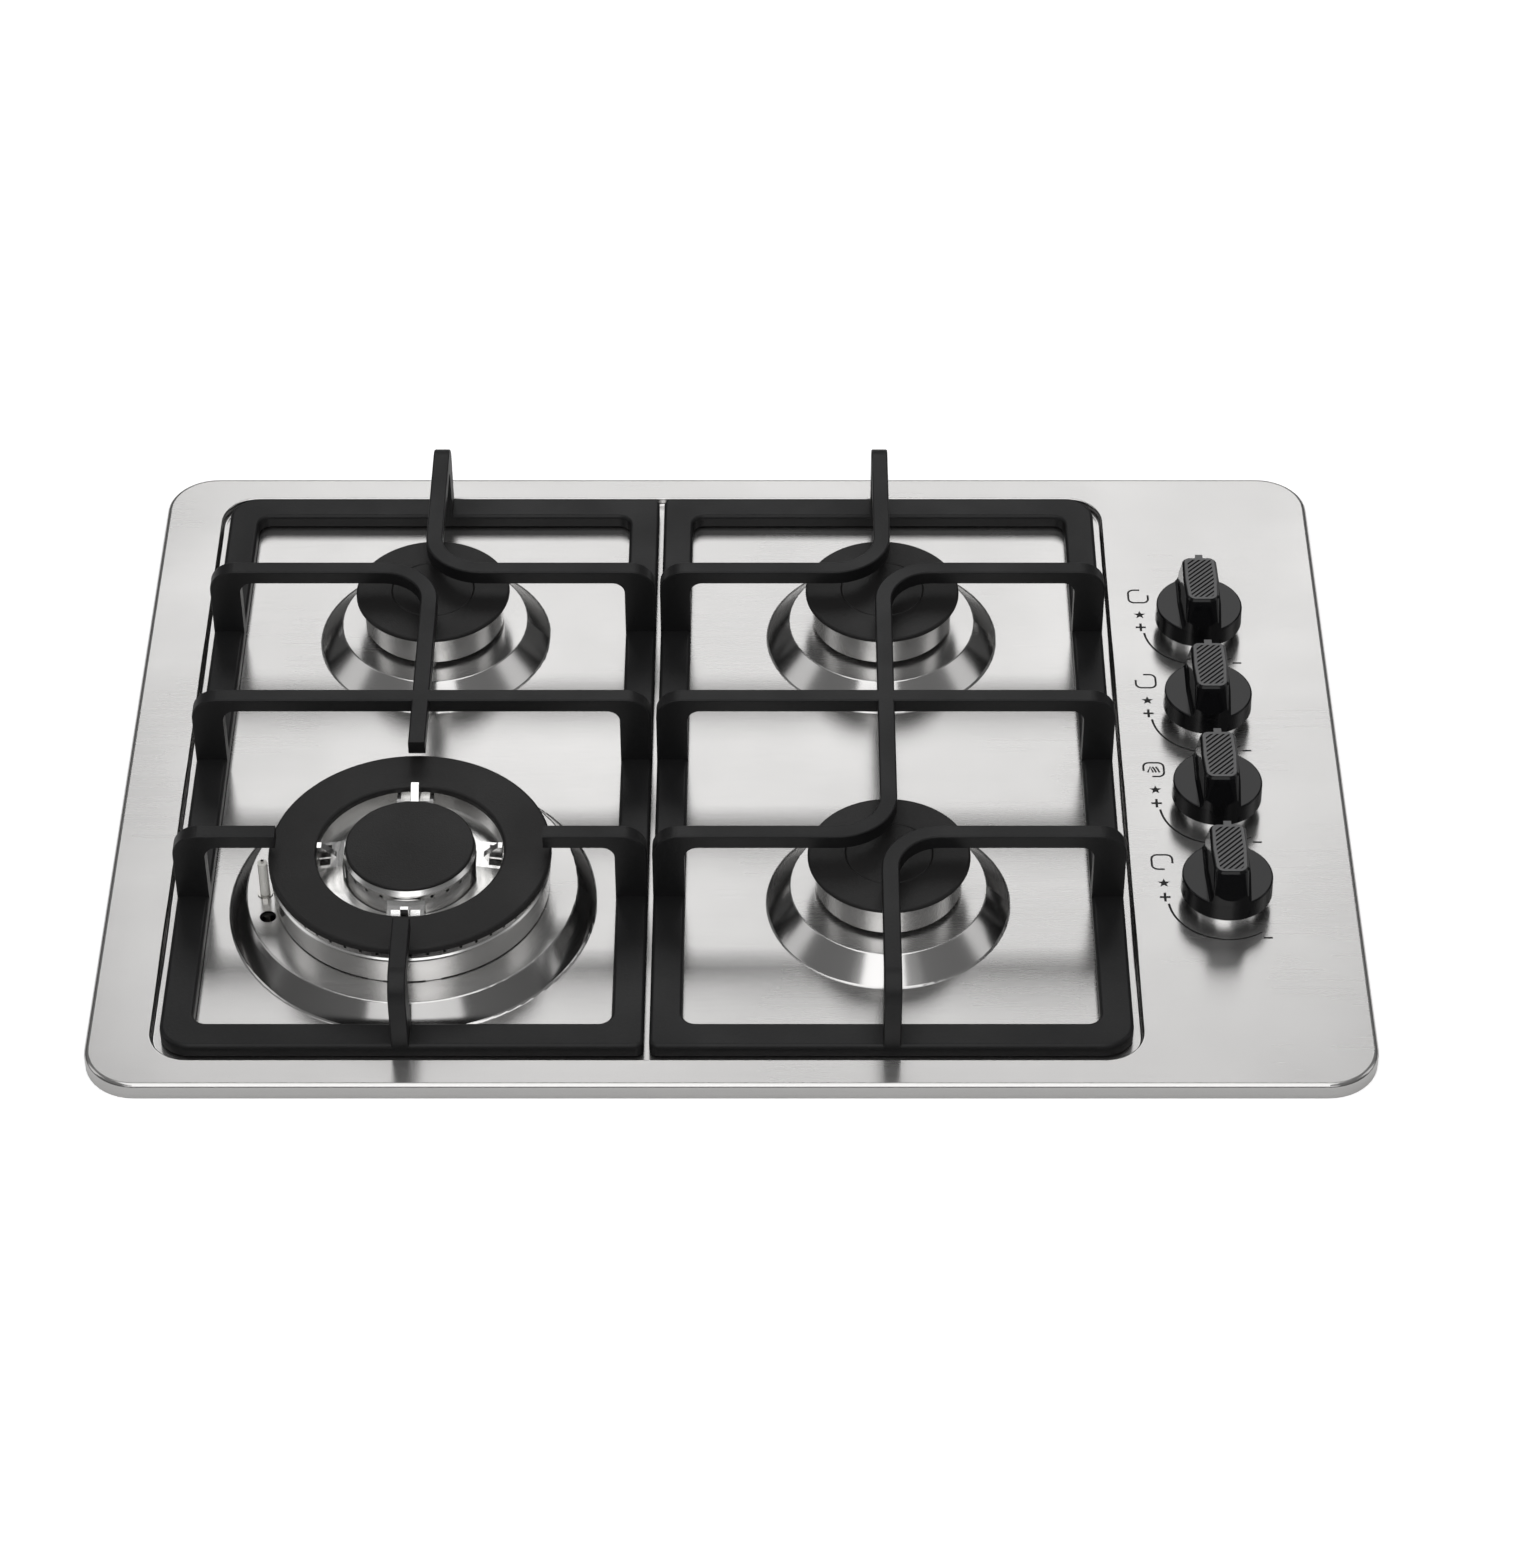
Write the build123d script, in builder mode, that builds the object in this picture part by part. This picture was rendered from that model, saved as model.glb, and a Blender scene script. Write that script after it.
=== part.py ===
"""Built-in gas cooktop with three single burners, one triple-ring burner and four push-to-turn taps.

All lengths are in millimetres. X runs to the right along the front edge, Y runs to the rear and Z runs up.
The origin is the middle of the bottom tray's underside, straight below the middle of the top plate.
"""
import os
from math import atan2, cos, radians, sin, tan

from build123d import *

os.makedirs("parts", exist_ok=True)

# ---------------------------------------------------------------- driving dimensions
# top plate
plate_width = 580.0
plate_depth = 430.0
plate_corner_r = 24.0
plate_edge_height = 8.1
plate_edge_round = 2.2
sheet = 1.2
well_margin_left = 28.8
well_margin_right = 105.0
well_margin_front = 16.5
well_corner_r = 17.5
well_depth = 4.0
well_lip_round = 0.9
well_foot_round = 1.4

# cones pressed up round the burners
cone_height = 11.3
cone_round = 1.0
cone_foot_round = 1.6
small_cone_flat = 11.6
small_cone_flare = 10.7
triple_cone_flat = 13.0
triple_cone_flare = 8.1

# burner rows and columns
row_margin = 121.0

# tray below the plate
tray_depth = 40.0
tray_side_margin = 20.0
tray_end_margin = 14.0
tray_corner_r = 20.0
tray_wall = 1.0
notch_width = 45.0
notch_length = 44.0
notch_height = 36.0
gland_r = 6.0
gland_bore_r = 4.0
gland_inset = 16.0
gland_z = 12.0
slot_row_inset = 81.0
slot_length = 40.0
slot_breadth = 4.0
slot_pitch = 9.0
slot_row_count = 6
tab_half_width = 10.0
tab_thickness = 1.5
dimple_depth = 2.6
dimple_r = 6.0
post_r = 5.0
post_thread_r = 2.0
post_thread_depth = 12.0
post_side_inset = 14.0
post_corner_inset = 35.0
post_row_inset = 26.0
post_corner_row_inset = 23.0
tray_screw_r = 2.0
seal_width = 6.0
seal_gap = 1.2

# clamps and small screws
clamp_inset = 90.0
clamp_width = 16.0
clamp_thickness = 1.5
clamp_reach = 12.0
clamp_foot_z = 10.0
clamp_top_z = 32.0
clamp_screw_z = 21.0
clamp_screw_r = 2.0
small_screw_head_r = 2.6
small_screw_r = 1.5

# cast grates
grate_gap = 2.4
grate_side_gap = 4.3
bar_width = 14.8
bar_thickness = 6.5
bar_rise = 4.0
grate_outer_r = 14.0
grate_inner_r = 4.0
window_r = 6.0
finger_rise = 37.7
finger_width = 8.0
finger_height = 7.0
finger_bend_r = 24.0
leg_outer_r = 12.0
leg_inner_r = 6.0
bar_round = 1.8
finger_edge_round = 0.8
side_finger_gap = 61.3
front_finger_gap = 57.0
front_gap = 60.5
foot_r = 5.0
foot_peg_r = 2.2
foot_peg_length = 3.0
foot_inset = 10.0

# single burners
spreader_r = 33.9
spreader_wall = 3.0
spreader_height = 15.4
spreader_gap = 2.5
spreader_floor = 3.0
venturi_r = 8.0
venturi_wall = 2.0
venturi_drop = 6.0
venturi_rise = 6.0
slot_count = 36
slot_width = 1.2
slot_depth = 2.4
cap_overhang = 3.6
cap_edge = 2.3
cap_round = 1.1
cap_crown = 0.4
cap_groove_r = 20.0
cap_groove_width = 0.9
cap_lip_depth = 3.0
cap_lip_wall = 2.0
cap_under_round = 0.4
neck_inset = 7.3
neck_wall = 2.4
cup_wall_thickness = 2.0
cup_depth = 18.2
cup_flange_reach = 8.1
cup_flange_thickness = 1.5
cup_screw_gap = 3.8
holder_r = 11.0
injector_r = 2.95
spigot_wall = 2.0
spigot_depth = 3.0
boss_r = 6.5
boss_length = 8.0
gas_z = 19.0
gas_way_r = 2.0

# triple-ring burner
triple_gap = 0.7
triple_skirt_r = 63.5
triple_lip_out = 1.0
triple_skirt_height = 14.0
triple_crown_out = 0.2
triple_crown_height = 4.5
triple_wall = 2.5
triple_seat_rise = 3.9
triple_port_count = 52
triple_port_r = 0.75
ring_cap_overhang = 1.3
ring_cap_hole_inset = 1.5
ring_cap_thickness = 3.3
ring_cap_round = 1.4
inner_wall_r = 44.5
inner_ring_r = 30.3
inner_ring_wall = 2.5
inner_opening_inset = 6.3
inner_port_count = 24
inner_port_r = 0.9
inner_port_drop = 4.2
centre_cap_inset = 0.7
centre_cap_edge = 2.0
centre_cap_round = 1.0
centre_cap_crown = 0.7
bridge_width = 17.0
fin_width = 3.6
fin_rise = 3.0
triple_neck_inset = 9.5
triple_cup_depth = 17.0
triple_screw_gap = 4.0
triple_flange_reach = 8.5

# ignition
igniter_r = 2.3
igniter_collar_r = 3.6
electrode_r = 0.7
electrode_tip = 1.4
igniter_collar_height = 5.0
igniter_foot_depth = 12.0
small_ceramic_rise = 8.7
clip_length = 11.0
clip_width = 2.2
clip_thickness = 0.6
small_igniter_gap = 3.9
triple_igniter_gap = 4.3
triple_igniter_angle = 184.6
spare_hole_gap = 4.9
spare_hole_angle = 197.8
spare_hole_r = 3.8
lead_r = 1.3
lead_z = 8.5
boot_r = 3.6
boot_y = 10.0
boot_reach = 6.0
feed_r = 1.5
feed_z = 4.0
wire_r = 1.2
wire_turn_gap = 42.0
feed_turn_gap = 32.0
harness_turn_gap = 52.0
terminal_inset_x = 34.0
terminal_inset_y = 25.0
terminal_length = 40.0
terminal_width = 28.0
terminal_height = 22.0
generator_length = 64.0
generator_width = 36.0
generator_height = 22.0

# knobs and taps
knob_margin = 61.9
knob_pitch = 64.0
knob_gap = 7.0
knob_r = 21.2
knob_draft = 1.5
knob_disc_height = 9.2
knob_skin = 2.4
knob_cavity_r = 18.4
blade_rise = 15.8
blade_bevel = 0.9
blade_border = 1.2
root_front_width = 16.2
root_rear_width = 18.8
root_corner_round = 1.0
root_flare = ((-1.0, 2.6), (0.2, 1.1), (1.0, 0.4), (2.2, 0.0))
pad_front = 14.6
pad_rear = 16.2
pad_front_width = 13.4
pad_middle_width = 15.0
pad_rear_width = 14.2
pad_front_round = 3.6
pad_rear_round = 2.6
pad_side_round = 30.0
pad_inset = 1.2
pad_proud = 0.3
pad_border = 1.3
pad_groove_pitch = 2.95
pad_groove_count = 15
pad_groove_width = 1.0
pad_groove_depth = 0.6
pad_groove_angle = 46.0
pointer_width = 3.6
pointer_reach = 18.8
knob_lip_round = 0.8
collar_r = 16.6
collar_height = 8.0
collar_wall = 1.2
press_travel = 3.0
spindle_grip = 4.0
spindle_collar_r = 6.8
spindle_collar_height = 2.0
collar_clearance = 0.5
spring_r = 6.4
spring_wall = 1.2
spindle_r = 4.0
spindle_flat = 1.0
hub_r = 7.0
switch_offset = 9.5
switch_width = 6.0
switch_length = 14.0
switch_height = 5.0
tap_stub_r = 4.0
tap_screw_x = 9.3
tap_screw_y = 8.3
tap_screw_depth = 7.0
tap_length = 24.0
tap_width = 22.0
tap_floor_z = 12.0
tap_height = 26.0
plug_top_r = 7.0
plug_bottom_r = 5.5
plug_length = 15.0
plug_floor = 2.0
chamber_r = 7.6
cover_thickness = 2.0
rail_r = 7.0
rail_wall = 1.5
rail_offset = 20.7
pipe_r = 4.0
pipe_wall = 0.8
inlet_thread_r = 10.48
inlet_thread_length = 12.0
union_hex_r = 12.6
union_hex_length = 10.0

# clearances
running = 0.05
slip = 0.3
loose = 0.5

# ---------------------------------------------------------------- levels and places worked out from them
rim_z = tray_depth
top_z = rim_z + plate_edge_height
under_top_z = top_z - sheet
well_z = top_z - well_depth
under_well_z = well_z - sheet
cone_z = well_z + cone_height
under_cone_z = cone_z - sheet

well_left = -plate_width / 2 + well_margin_left
well_right = plate_width / 2 - well_margin_right
well_front = -plate_depth / 2 + well_margin_front
well_x = (well_left + well_right) / 2
well_width = well_right - well_left
well_length = -2 * well_front
burner_row = plate_depth / 2 - row_margin
grate_width = (well_width - 2 * grate_side_gap - grate_gap) / 2
left_column_x = well_left + grate_side_gap + grate_width / 2
right_column_x = well_right - grate_side_gap - grate_width / 2
knob_x = plate_width / 2 - knob_margin
tray_width = plate_width - 2 * tray_side_margin
tray_length = plate_depth - 2 * tray_end_margin
gland_y = tray_length / 2 - gland_inset
slot_row = tray_length / 2 - slot_row_inset
post_row = tray_length / 2 - post_row_inset
post_corner_row = tray_length / 2 - post_corner_row_inset
clamp_x = tray_width / 2 - clamp_inset

grate_half_depth = -well_front - grate_side_gap
grate_split_x = (left_column_x + right_column_x) / 2
bar_top_z = top_z + bar_rise
bar_z = bar_top_z - bar_thickness
finger_top_z = bar_top_z + finger_rise
finger_z = finger_top_z - finger_height

cap_r = spreader_r + cap_overhang
neck_r = spreader_r - neck_inset
cup_flange_r = spreader_r + cup_flange_reach
cup_screw_r = neck_r + cup_screw_gap
small_cone_top_r = spreader_r + small_cone_flat
small_cone_base_r = small_cone_top_r + small_cone_flare
small_igniter_offset = spreader_r + small_igniter_gap
triple_lip_r = triple_skirt_r + triple_lip_out
triple_crown_r = triple_skirt_r + triple_crown_out
ring_cap_r = triple_crown_r + ring_cap_overhang
ring_cap_hole_r = inner_wall_r - ring_cap_hole_inset
centre_cap_r = inner_ring_r - centre_cap_inset
inner_opening_r = inner_ring_r - inner_opening_inset
triple_neck_r = triple_skirt_r - triple_neck_inset
triple_flange_r = triple_skirt_r + triple_flange_reach
triple_screw_r = triple_neck_r + triple_screw_gap
triple_cone_top_r = triple_skirt_r + triple_cone_flat
triple_cone_base_r = triple_cone_top_r + triple_cone_flare
triple_igniter_offset = triple_skirt_r + triple_igniter_gap
spare_hole_offset = triple_skirt_r + spare_hole_gap

spreader_z = cone_z + spreader_gap
spreader_top_z = spreader_z + spreader_height
triple_z = cone_z + triple_gap
triple_lip_z = triple_z + triple_skirt_height
triple_top_z = triple_lip_z + triple_crown_height
triple_port_z = (triple_lip_z + triple_top_z) / 2 + 0.2
triple_foot_angles = (-102, -78, 18, 42, 138, 162)
triple_seat_z = triple_z + triple_seat_rise
triple_floor_z = triple_seat_z + 2.0
dish_z = triple_floor_z + 4.6
inner_seat_z = triple_floor_z + 2.0
inner_ring_top_z = triple_top_z + ring_cap_thickness + 0.7
centre_cap_z = inner_ring_top_z + 0.8

knob_z = top_z + knob_gap
knob_disc_z = knob_z + knob_disc_height
knob_rim_r = knob_r - knob_disc_height * tan(radians(knob_draft))
knob_top_z = knob_disc_z + blade_rise
pad_floor_z = knob_top_z - pad_inset
tap_top_z = tap_floor_z + tap_height
notch_wall_x = tray_width / 2 - notch_width
notch_wall_y = tray_length / 2 - notch_length
terminal_x = notch_wall_x - terminal_inset_x
terminal_y = tray_length / 2 - terminal_inset_y
generator_x = grate_split_x
upright = (Align.CENTER, Align.CENTER, Align.MIN)
cover_top_z = tap_top_z + cover_thickness
plug_z = tap_floor_z + plug_floor
plug_top_z = plug_z + plug_length
socket_z = gas_z + gas_way_r + 0.8
spindle_z = socket_z + press_travel + loose
spindle_top_z = knob_disc_z + spindle_grip
igniter_foot_z = under_cone_z - igniter_foot_depth
rail_x = knob_x + rail_offset

single_places = {
    "rl": (left_column_x, burner_row),
    "rr": (right_column_x, burner_row),
    "fr": (right_column_x, -burner_row),
}
triple_x = left_column_x
triple_y = -burner_row
knob_rows = {
    "rr": 1.5 * knob_pitch,
    "rl": 0.5 * knob_pitch,
    "fl": -0.5 * knob_pitch,
    "fr": -1.5 * knob_pitch,
}


def save(piece, node):
    """Label a finished piece and write it as its own file."""
    piece.part.label = node
    export_step(piece.part, f"parts/{node}.step")


def polar(x, y, radius, angle):
    """The point at a radius and an angle in degrees from a centre."""
    return (x + radius * cos(radians(angle)), y + radius * sin(radians(angle)))


triple_igniter = polar(triple_x, triple_y, triple_igniter_offset, triple_igniter_angle)
spare_hole = polar(triple_x, triple_y, spare_hole_offset, spare_hole_angle)
igniter_places = {
    "rl": (left_column_x, burner_row + small_igniter_offset),
    "rr": (right_column_x, burner_row + small_igniter_offset),
    "fl": triple_igniter,
    "fr": (right_column_x, -burner_row + small_igniter_offset),
}
cup_screw_angles = (30, 150, 270)


def cup_screw_places():
    """Plan positions of the screws that hold the burner cups to the plate."""
    places = []
    for x, y in single_places.values():
        places += [polar(x, y, cup_screw_r, angle) for angle in cup_screw_angles]
    places += [polar(triple_x, triple_y, triple_screw_r, angle) for angle in cup_screw_angles]
    return places


post_places = [
    (well_left + post_side_inset, 0),
    (grate_split_x, post_row),
    (grate_split_x, -post_row),
    (well_right - post_side_inset, 0),
    (well_right - post_corner_inset, post_corner_row),
    (well_right - post_corner_inset, -post_corner_row),
]


# ---------------------------------------------------------------- top plate
def cone_radius_change(base_r, top_r, inset):
    """How far a cone's wall moves in when it is drawn in by inset square to its face."""
    slope = atan2(cone_height, base_r - top_r)
    return inset / tan(slope) - inset / sin(slope)


def plate_form(inset, rounded):
    """Solid with the outside shape of the plate, drawn in by inset on every upper face."""
    with BuildPart() as form:
        with BuildSketch(Plane.XY.offset(rim_z)):
            RectangleRounded(
                plate_width - 2 * inset, plate_depth - 2 * inset, plate_corner_r - inset
            )
        extrude(amount=plate_edge_height - inset)
        fillet(form.faces().sort_by(Axis.Z)[-1].edges(), plate_edge_round - inset)
        with BuildSketch(Plane.XY.offset(top_z - inset)):
            with Locations((well_x, 0)):
                RectangleRounded(
                    well_width + 2 * inset, well_length + 2 * inset, well_corner_r + inset
                )
        extrude(amount=-well_depth, mode=Mode.SUBTRACT)
        if rounded:
            lip = form.faces().filter_by(Plane.XY).sort_by(Axis.Z)[-1].inner_wires().edges()
            fillet(lip, well_lip_round)
            foot = form.faces().filter_by(Plane.XY).sort_by(Axis.Z)[1].edges()
            fillet(foot, well_foot_round)
        for (x, y), base_r, top_r in cones:
            change = cone_radius_change(base_r, top_r, inset)
            with Locations((x, y, well_z - inset)):
                Cone(
                    base_r + change,
                    top_r + change,
                    cone_height,
                    align=(Align.CENTER, Align.CENTER, Align.MIN),
                )
        if rounded:
            rings = form.edges().filter_by(GeomType.CIRCLE)
            fillet(rings.filter_by_position(Axis.Z, cone_z - 0.01, cone_z + 0.01), cone_round)
            feet = form.edges().filter_by(GeomType.CIRCLE)
            feet = feet.filter_by_position(Axis.Z, well_z - 0.01, well_z + 0.01)
            feet = feet.filter_by(lambda edge: edge.radius > small_cone_top_r)
            fillet(feet, cone_foot_round)
    return form


cones = [(place, small_cone_base_r, small_cone_top_r) for place in single_places.values()]
cones.append(((triple_x, triple_y), triple_cone_base_r, triple_cone_top_r))

plate_outside = plate_form(0.0, True)
plate_inside = plate_form(sheet, False)

with BuildPart() as top_plate:
    add(plate_outside)
    add(plate_inside, mode=Mode.SUBTRACT)
    # holes for the burner necks
    with Locations([(x, y, cone_z) for x, y in single_places.values()]):
        Hole(neck_r + loose, depth=2 * sheet)
    with Locations((triple_x, triple_y, cone_z)):
        Hole(triple_neck_r + loose, depth=2 * sheet)
    # holes for the igniters, the cup screws and the unused flame probe
    with Locations([(x, y, cone_z) for x, y in igniter_places.values()]):
        Hole(igniter_r + slip, depth=2 * sheet)
    with Locations([(x, y, cone_z) for x, y in cup_screw_places()]):
        Hole(1.5 + slip, depth=2 * sheet)
    with Locations((spare_hole[0], spare_hole[1], cone_z)):
        Hole(spare_hole_r, depth=2 * sheet)
    # holes for the tap spindles
    with Locations([(knob_x, y, top_z) for y in knob_rows.values()]):
        Hole(spindle_r + 1.0, depth=2 * sheet)
    # threaded posts welded under the well, which carry the tray
    with BuildSketch(Plane.XY.offset(dimple_depth + tray_wall)):
        with Locations(post_places):
            RegularPolygon(post_r, 6)
    extrude(amount=under_well_z - dimple_depth - tray_wall)
    with BuildSketch(Plane.XY.offset(dimple_depth + tray_wall)):
        with Locations(post_places):
            Circle(post_thread_r)
    extrude(amount=post_thread_depth, mode=Mode.SUBTRACT)
save(top_plate, "top_plate")


# ---------------------------------------------------------------- bottom tray
def tray_form(inset):
    """Solid of the tray, drawn in by inset on the sides, the floor and the notch."""
    notch_x = tray_width / 2 - notch_width / 2
    notch_y = tray_length / 2 - notch_length / 2
    with BuildPart() as form:
        with BuildSketch(Plane.XY.offset(inset)):
            RectangleRounded(tray_width - 2 * inset, tray_length - 2 * inset, tray_corner_r - inset)
        extrude(amount=under_top_z - inset)
        with BuildSketch(Plane.XY):
            with Locations((notch_x, notch_y)):
                Rectangle(notch_width + 2 * inset, notch_length + 2 * inset)
        extrude(amount=notch_height + inset, mode=Mode.SUBTRACT)
    return form


tray_outside = tray_form(0.0)
tray_inside = tray_form(tray_wall)

with BuildPart() as bottom_tray:
    add(tray_outside)
    add(tray_inside, mode=Mode.SUBTRACT)
    # dimples that sink the screw heads
    with Locations([(x, y, 0) for x, y in post_places]):
        Cylinder(dimple_r + tray_wall, dimple_depth + tray_wall, align=upright)
        Cylinder(dimple_r, dimple_depth, align=upright, mode=Mode.SUBTRACT)
        Cylinder(tray_screw_r + slip, 4 * dimple_depth, mode=Mode.SUBTRACT)
    # gas inlet hole in the notch's front wall
    with BuildSketch(Plane.XZ.offset(tray_wall - notch_wall_y)):
        with Locations((rail_x, gas_z)):
            Circle(rail_r + slip)
    extrude(amount=-3 * tray_wall, both=True, mode=Mode.SUBTRACT)
    # cable gland hole in the notch's left wall
    with BuildSketch(Plane.YZ.offset(notch_wall_x)):
        with Locations((gland_y, gland_z)):
            Circle(gland_r + slip)
    extrude(amount=3 * tray_wall, both=True, mode=Mode.SUBTRACT)
    # holes for the clamp screws in the front and rear walls
    for side in (-1, 1):
        with BuildSketch(Plane.XZ.offset(side * tray_length / 2)):
            with Locations((-clamp_x, clamp_screw_z), (clamp_x, clamp_screw_z)):
                Circle(clamp_screw_r + slip)
        extrude(amount=2 * tray_wall, both=True, mode=Mode.SUBTRACT)
    # air slots in the floor
    with BuildSketch(Plane.XY):
        with Locations((generator_x, slot_row), (generator_x, -slot_row)):
            with GridLocations(slot_pitch, 1, slot_row_count, 1):
                SlotOverall(slot_length, slot_breadth, rotation=90)
    extrude(amount=2 * tray_wall, mode=Mode.SUBTRACT)
    # two welded tabs that hold the gas rail
    for y in (-knob_pitch, knob_pitch):
        with Locations((rail_x, y, tray_wall)):
            Box(2 * tab_half_width, tab_thickness, gas_z + tab_half_width - tray_wall, align=upright)
        with BuildSketch(Plane.XZ.offset(-y)):
            with Locations((rail_x, gas_z)):
                Circle(rail_r + running)
        extrude(amount=tab_thickness, both=True, mode=Mode.SUBTRACT)
save(bottom_tray, "bottom_tray")

# ---------------------------------------------------------------- seal, screws and clamps
seal_outset = sheet + seal_gap
seal_inset = seal_outset + seal_width
with BuildPart() as worktop_seal:
    with BuildSketch(Plane.XY.offset(rim_z)):
        RectangleRounded(
            plate_width - 2 * seal_outset,
            plate_depth - 2 * seal_outset,
            plate_corner_r - seal_outset,
        )
        RectangleRounded(
            plate_width - 2 * seal_inset,
            plate_depth - 2 * seal_inset,
            plate_corner_r - seal_inset,
            mode=Mode.SUBTRACT,
        )
    extrude(amount=under_top_z - rim_z)
save(worktop_seal, "worktop_seal")


def pan_screw(head_r, shank_r, shank_length):
    """Pan-head screw with a cross recess: its head stands on the origin and its shank points down."""
    head_height = 0.65 * head_r
    with BuildPart() as screw:
        Cylinder(head_r, head_height, align=upright)
        fillet(screw.faces().sort_by(Axis.Z)[-1].edges(), 0.2 * head_r)
        with BuildSketch(Plane.XY.offset(head_height)):
            Rectangle(1.1 * head_r, 0.28 * head_r)
            Rectangle(0.28 * head_r, 1.1 * head_r)
        extrude(amount=-0.55 * head_height, mode=Mode.SUBTRACT)
        Cylinder(shank_r, shank_length, align=(Align.CENTER, Align.CENTER, Align.MAX))
    return screw


tray_screw = pan_screw(4.0, tray_screw_r - running, post_thread_depth - 2.0 + tray_wall)
with BuildPart() as tray_screws:
    with Locations([Location((x, y, dimple_depth), (180, 0, 0)) for x, y in post_places]):
        add(tray_screw)
save(tray_screws, "tray_screws")

cup_screw = pan_screw(small_screw_head_r, small_screw_r, sheet + cup_flange_thickness)
with BuildPart() as cup_screws:
    with Locations([(x, y, cone_z) for x, y in cup_screw_places()]):
        add(cup_screw)
save(cup_screws, "cup_screws")

clamp_screw = pan_screw(3.4, clamp_screw_r, clamp_thickness + tray_wall + 4.0)
with BuildPart() as clamp_screws:
    for side in (-1, 1):
        head_y = side * (tray_length / 2 + clamp_thickness)
        turn = (-90 * side, 0, 0)
        with Locations([Location((x, head_y, clamp_screw_z), turn) for x in (-clamp_x, clamp_x)]):
            add(clamp_screw)
save(clamp_screws, "clamp_screws")

with BuildPart() as worktop_clamps:
    for side in (-1, 1):
        for x in (-clamp_x, clamp_x):
            with BuildSketch(Plane.YZ.offset(x)):
                with BuildLine():
                    wall_y = side * tray_length / 2
                    out_y = side * (tray_length / 2 + clamp_thickness)
                    foot_y = side * (tray_length / 2 + clamp_reach)
                    Polyline(
                        (wall_y, clamp_foot_z - clamp_thickness),
                        (foot_y, clamp_foot_z - clamp_thickness),
                        (foot_y, clamp_foot_z),
                        (out_y, clamp_foot_z),
                        (out_y, clamp_top_z),
                        (wall_y, clamp_top_z),
                        close=True,
                    )
                make_face()
            extrude(amount=clamp_width / 2, both=True)
        with BuildSketch(Plane.XZ.offset(-side * tray_length / 2)):
            with Locations((-clamp_x, clamp_screw_z), (clamp_x, clamp_screw_z)):
                Circle(clamp_screw_r + running)
        extrude(amount=2 * clamp_thickness, both=True, mode=Mode.SUBTRACT)
save(worktop_clamps, "worktop_clamps")


# ---------------------------------------------------------------- burner cups and injectors
def burner_cup(place, neck, seat_z, flange_r, depth, screw_r, igniter):
    """Cast cup below the plate: a neck for the burner, a bowl, and a holder with the gas inlet."""
    x, y = place
    bowl_z = under_cone_z - cup_flange_thickness - depth
    holder_z = gas_z - boss_r
    with BuildPart() as cup:
        with BuildSketch(Plane.XZ.offset(-y)):
            with BuildLine():
                Polyline(
                    (x, bowl_z - cup_wall_thickness),
                    (x + neck, bowl_z - cup_wall_thickness),
                    (x + neck, under_cone_z - cup_flange_thickness),
                    (x + flange_r, under_cone_z - cup_flange_thickness),
                    (x + flange_r, under_cone_z),
                    (x + neck, under_cone_z),
                    (x + neck, seat_z),
                    (x + neck - neck_wall, seat_z),
                    (x + neck - neck_wall, bowl_z),
                    (x, bowl_z),
                    close=True,
                )
            make_face()
        revolve(axis=Axis((x, y, 0), (0, 0, 1)))
        with Locations((x, y, holder_z)):
            Cylinder(holder_r, bowl_z - holder_z, align=upright)
        # inlet boss that faces the taps, with the pipe's socket and the gas way behind it
        with BuildSketch(Plane.YZ.offset(x)):
            with Locations((y, gas_z)):
                Circle(boss_r)
        extrude(amount=holder_r + boss_length)
        with BuildSketch(Plane.YZ.offset(x + holder_r)):
            with Locations((y, gas_z)):
                Circle(pipe_r + running)
        extrude(amount=boss_length, mode=Mode.SUBTRACT)
        with BuildSketch(Plane.YZ.offset(x)):
            with Locations((y, gas_z)):
                Circle(gas_way_r)
        extrude(amount=holder_r, mode=Mode.SUBTRACT)
        with Locations((x, y, gas_z)):
            Cylinder(injector_r + running, bowl_z - gas_z, align=upright, mode=Mode.SUBTRACT)
        # igniter and screw holes in the flange
        with Locations((igniter[0], igniter[1], under_cone_z)):
            Hole(igniter_collar_r + slip, depth=2 * cup_flange_thickness)
        with Locations([(*polar(x, y, screw_r, a), under_cone_z) for a in cup_screw_angles]):
            Hole(small_screw_r + running, depth=2 * cup_flange_thickness)
    return cup


with BuildPart() as burner_cups:
    for key, place in single_places.items():
        add(
            burner_cup(
                place, neck_r, spreader_z, cup_flange_r, cup_depth, cup_screw_r,
                igniter_places[key],
            )
        )
save(burner_cups, "burner_cups")

triple_cup = burner_cup(
    (triple_x, triple_y), triple_neck_r, triple_seat_z, triple_flange_r, triple_cup_depth,
    triple_screw_r, triple_igniter,
)
with BuildPart() as burner_cup_triple:
    add(triple_cup)
    with Locations((spare_hole[0], spare_hole[1], under_cone_z)):
        Hole(spare_hole_r + slip, depth=2 * cup_flange_thickness)
save(burner_cup_triple, "burner_cup_triple")


def injector(jet_r):
    """Brass jet: a hexagon on the origin, a nozzle above it and a threaded shank below it."""
    with BuildPart() as jet:
        with BuildSketch():
            RegularPolygon(4.0, 6)
        extrude(amount=4.0)
        Cone(2.6, 1.6, 7.0, align=upright)
        Cylinder(injector_r, 7.0, align=(Align.CENTER, Align.CENTER, Align.MAX))
        Cylinder(jet_r, 20.0, mode=Mode.SUBTRACT)
    return jet


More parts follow.
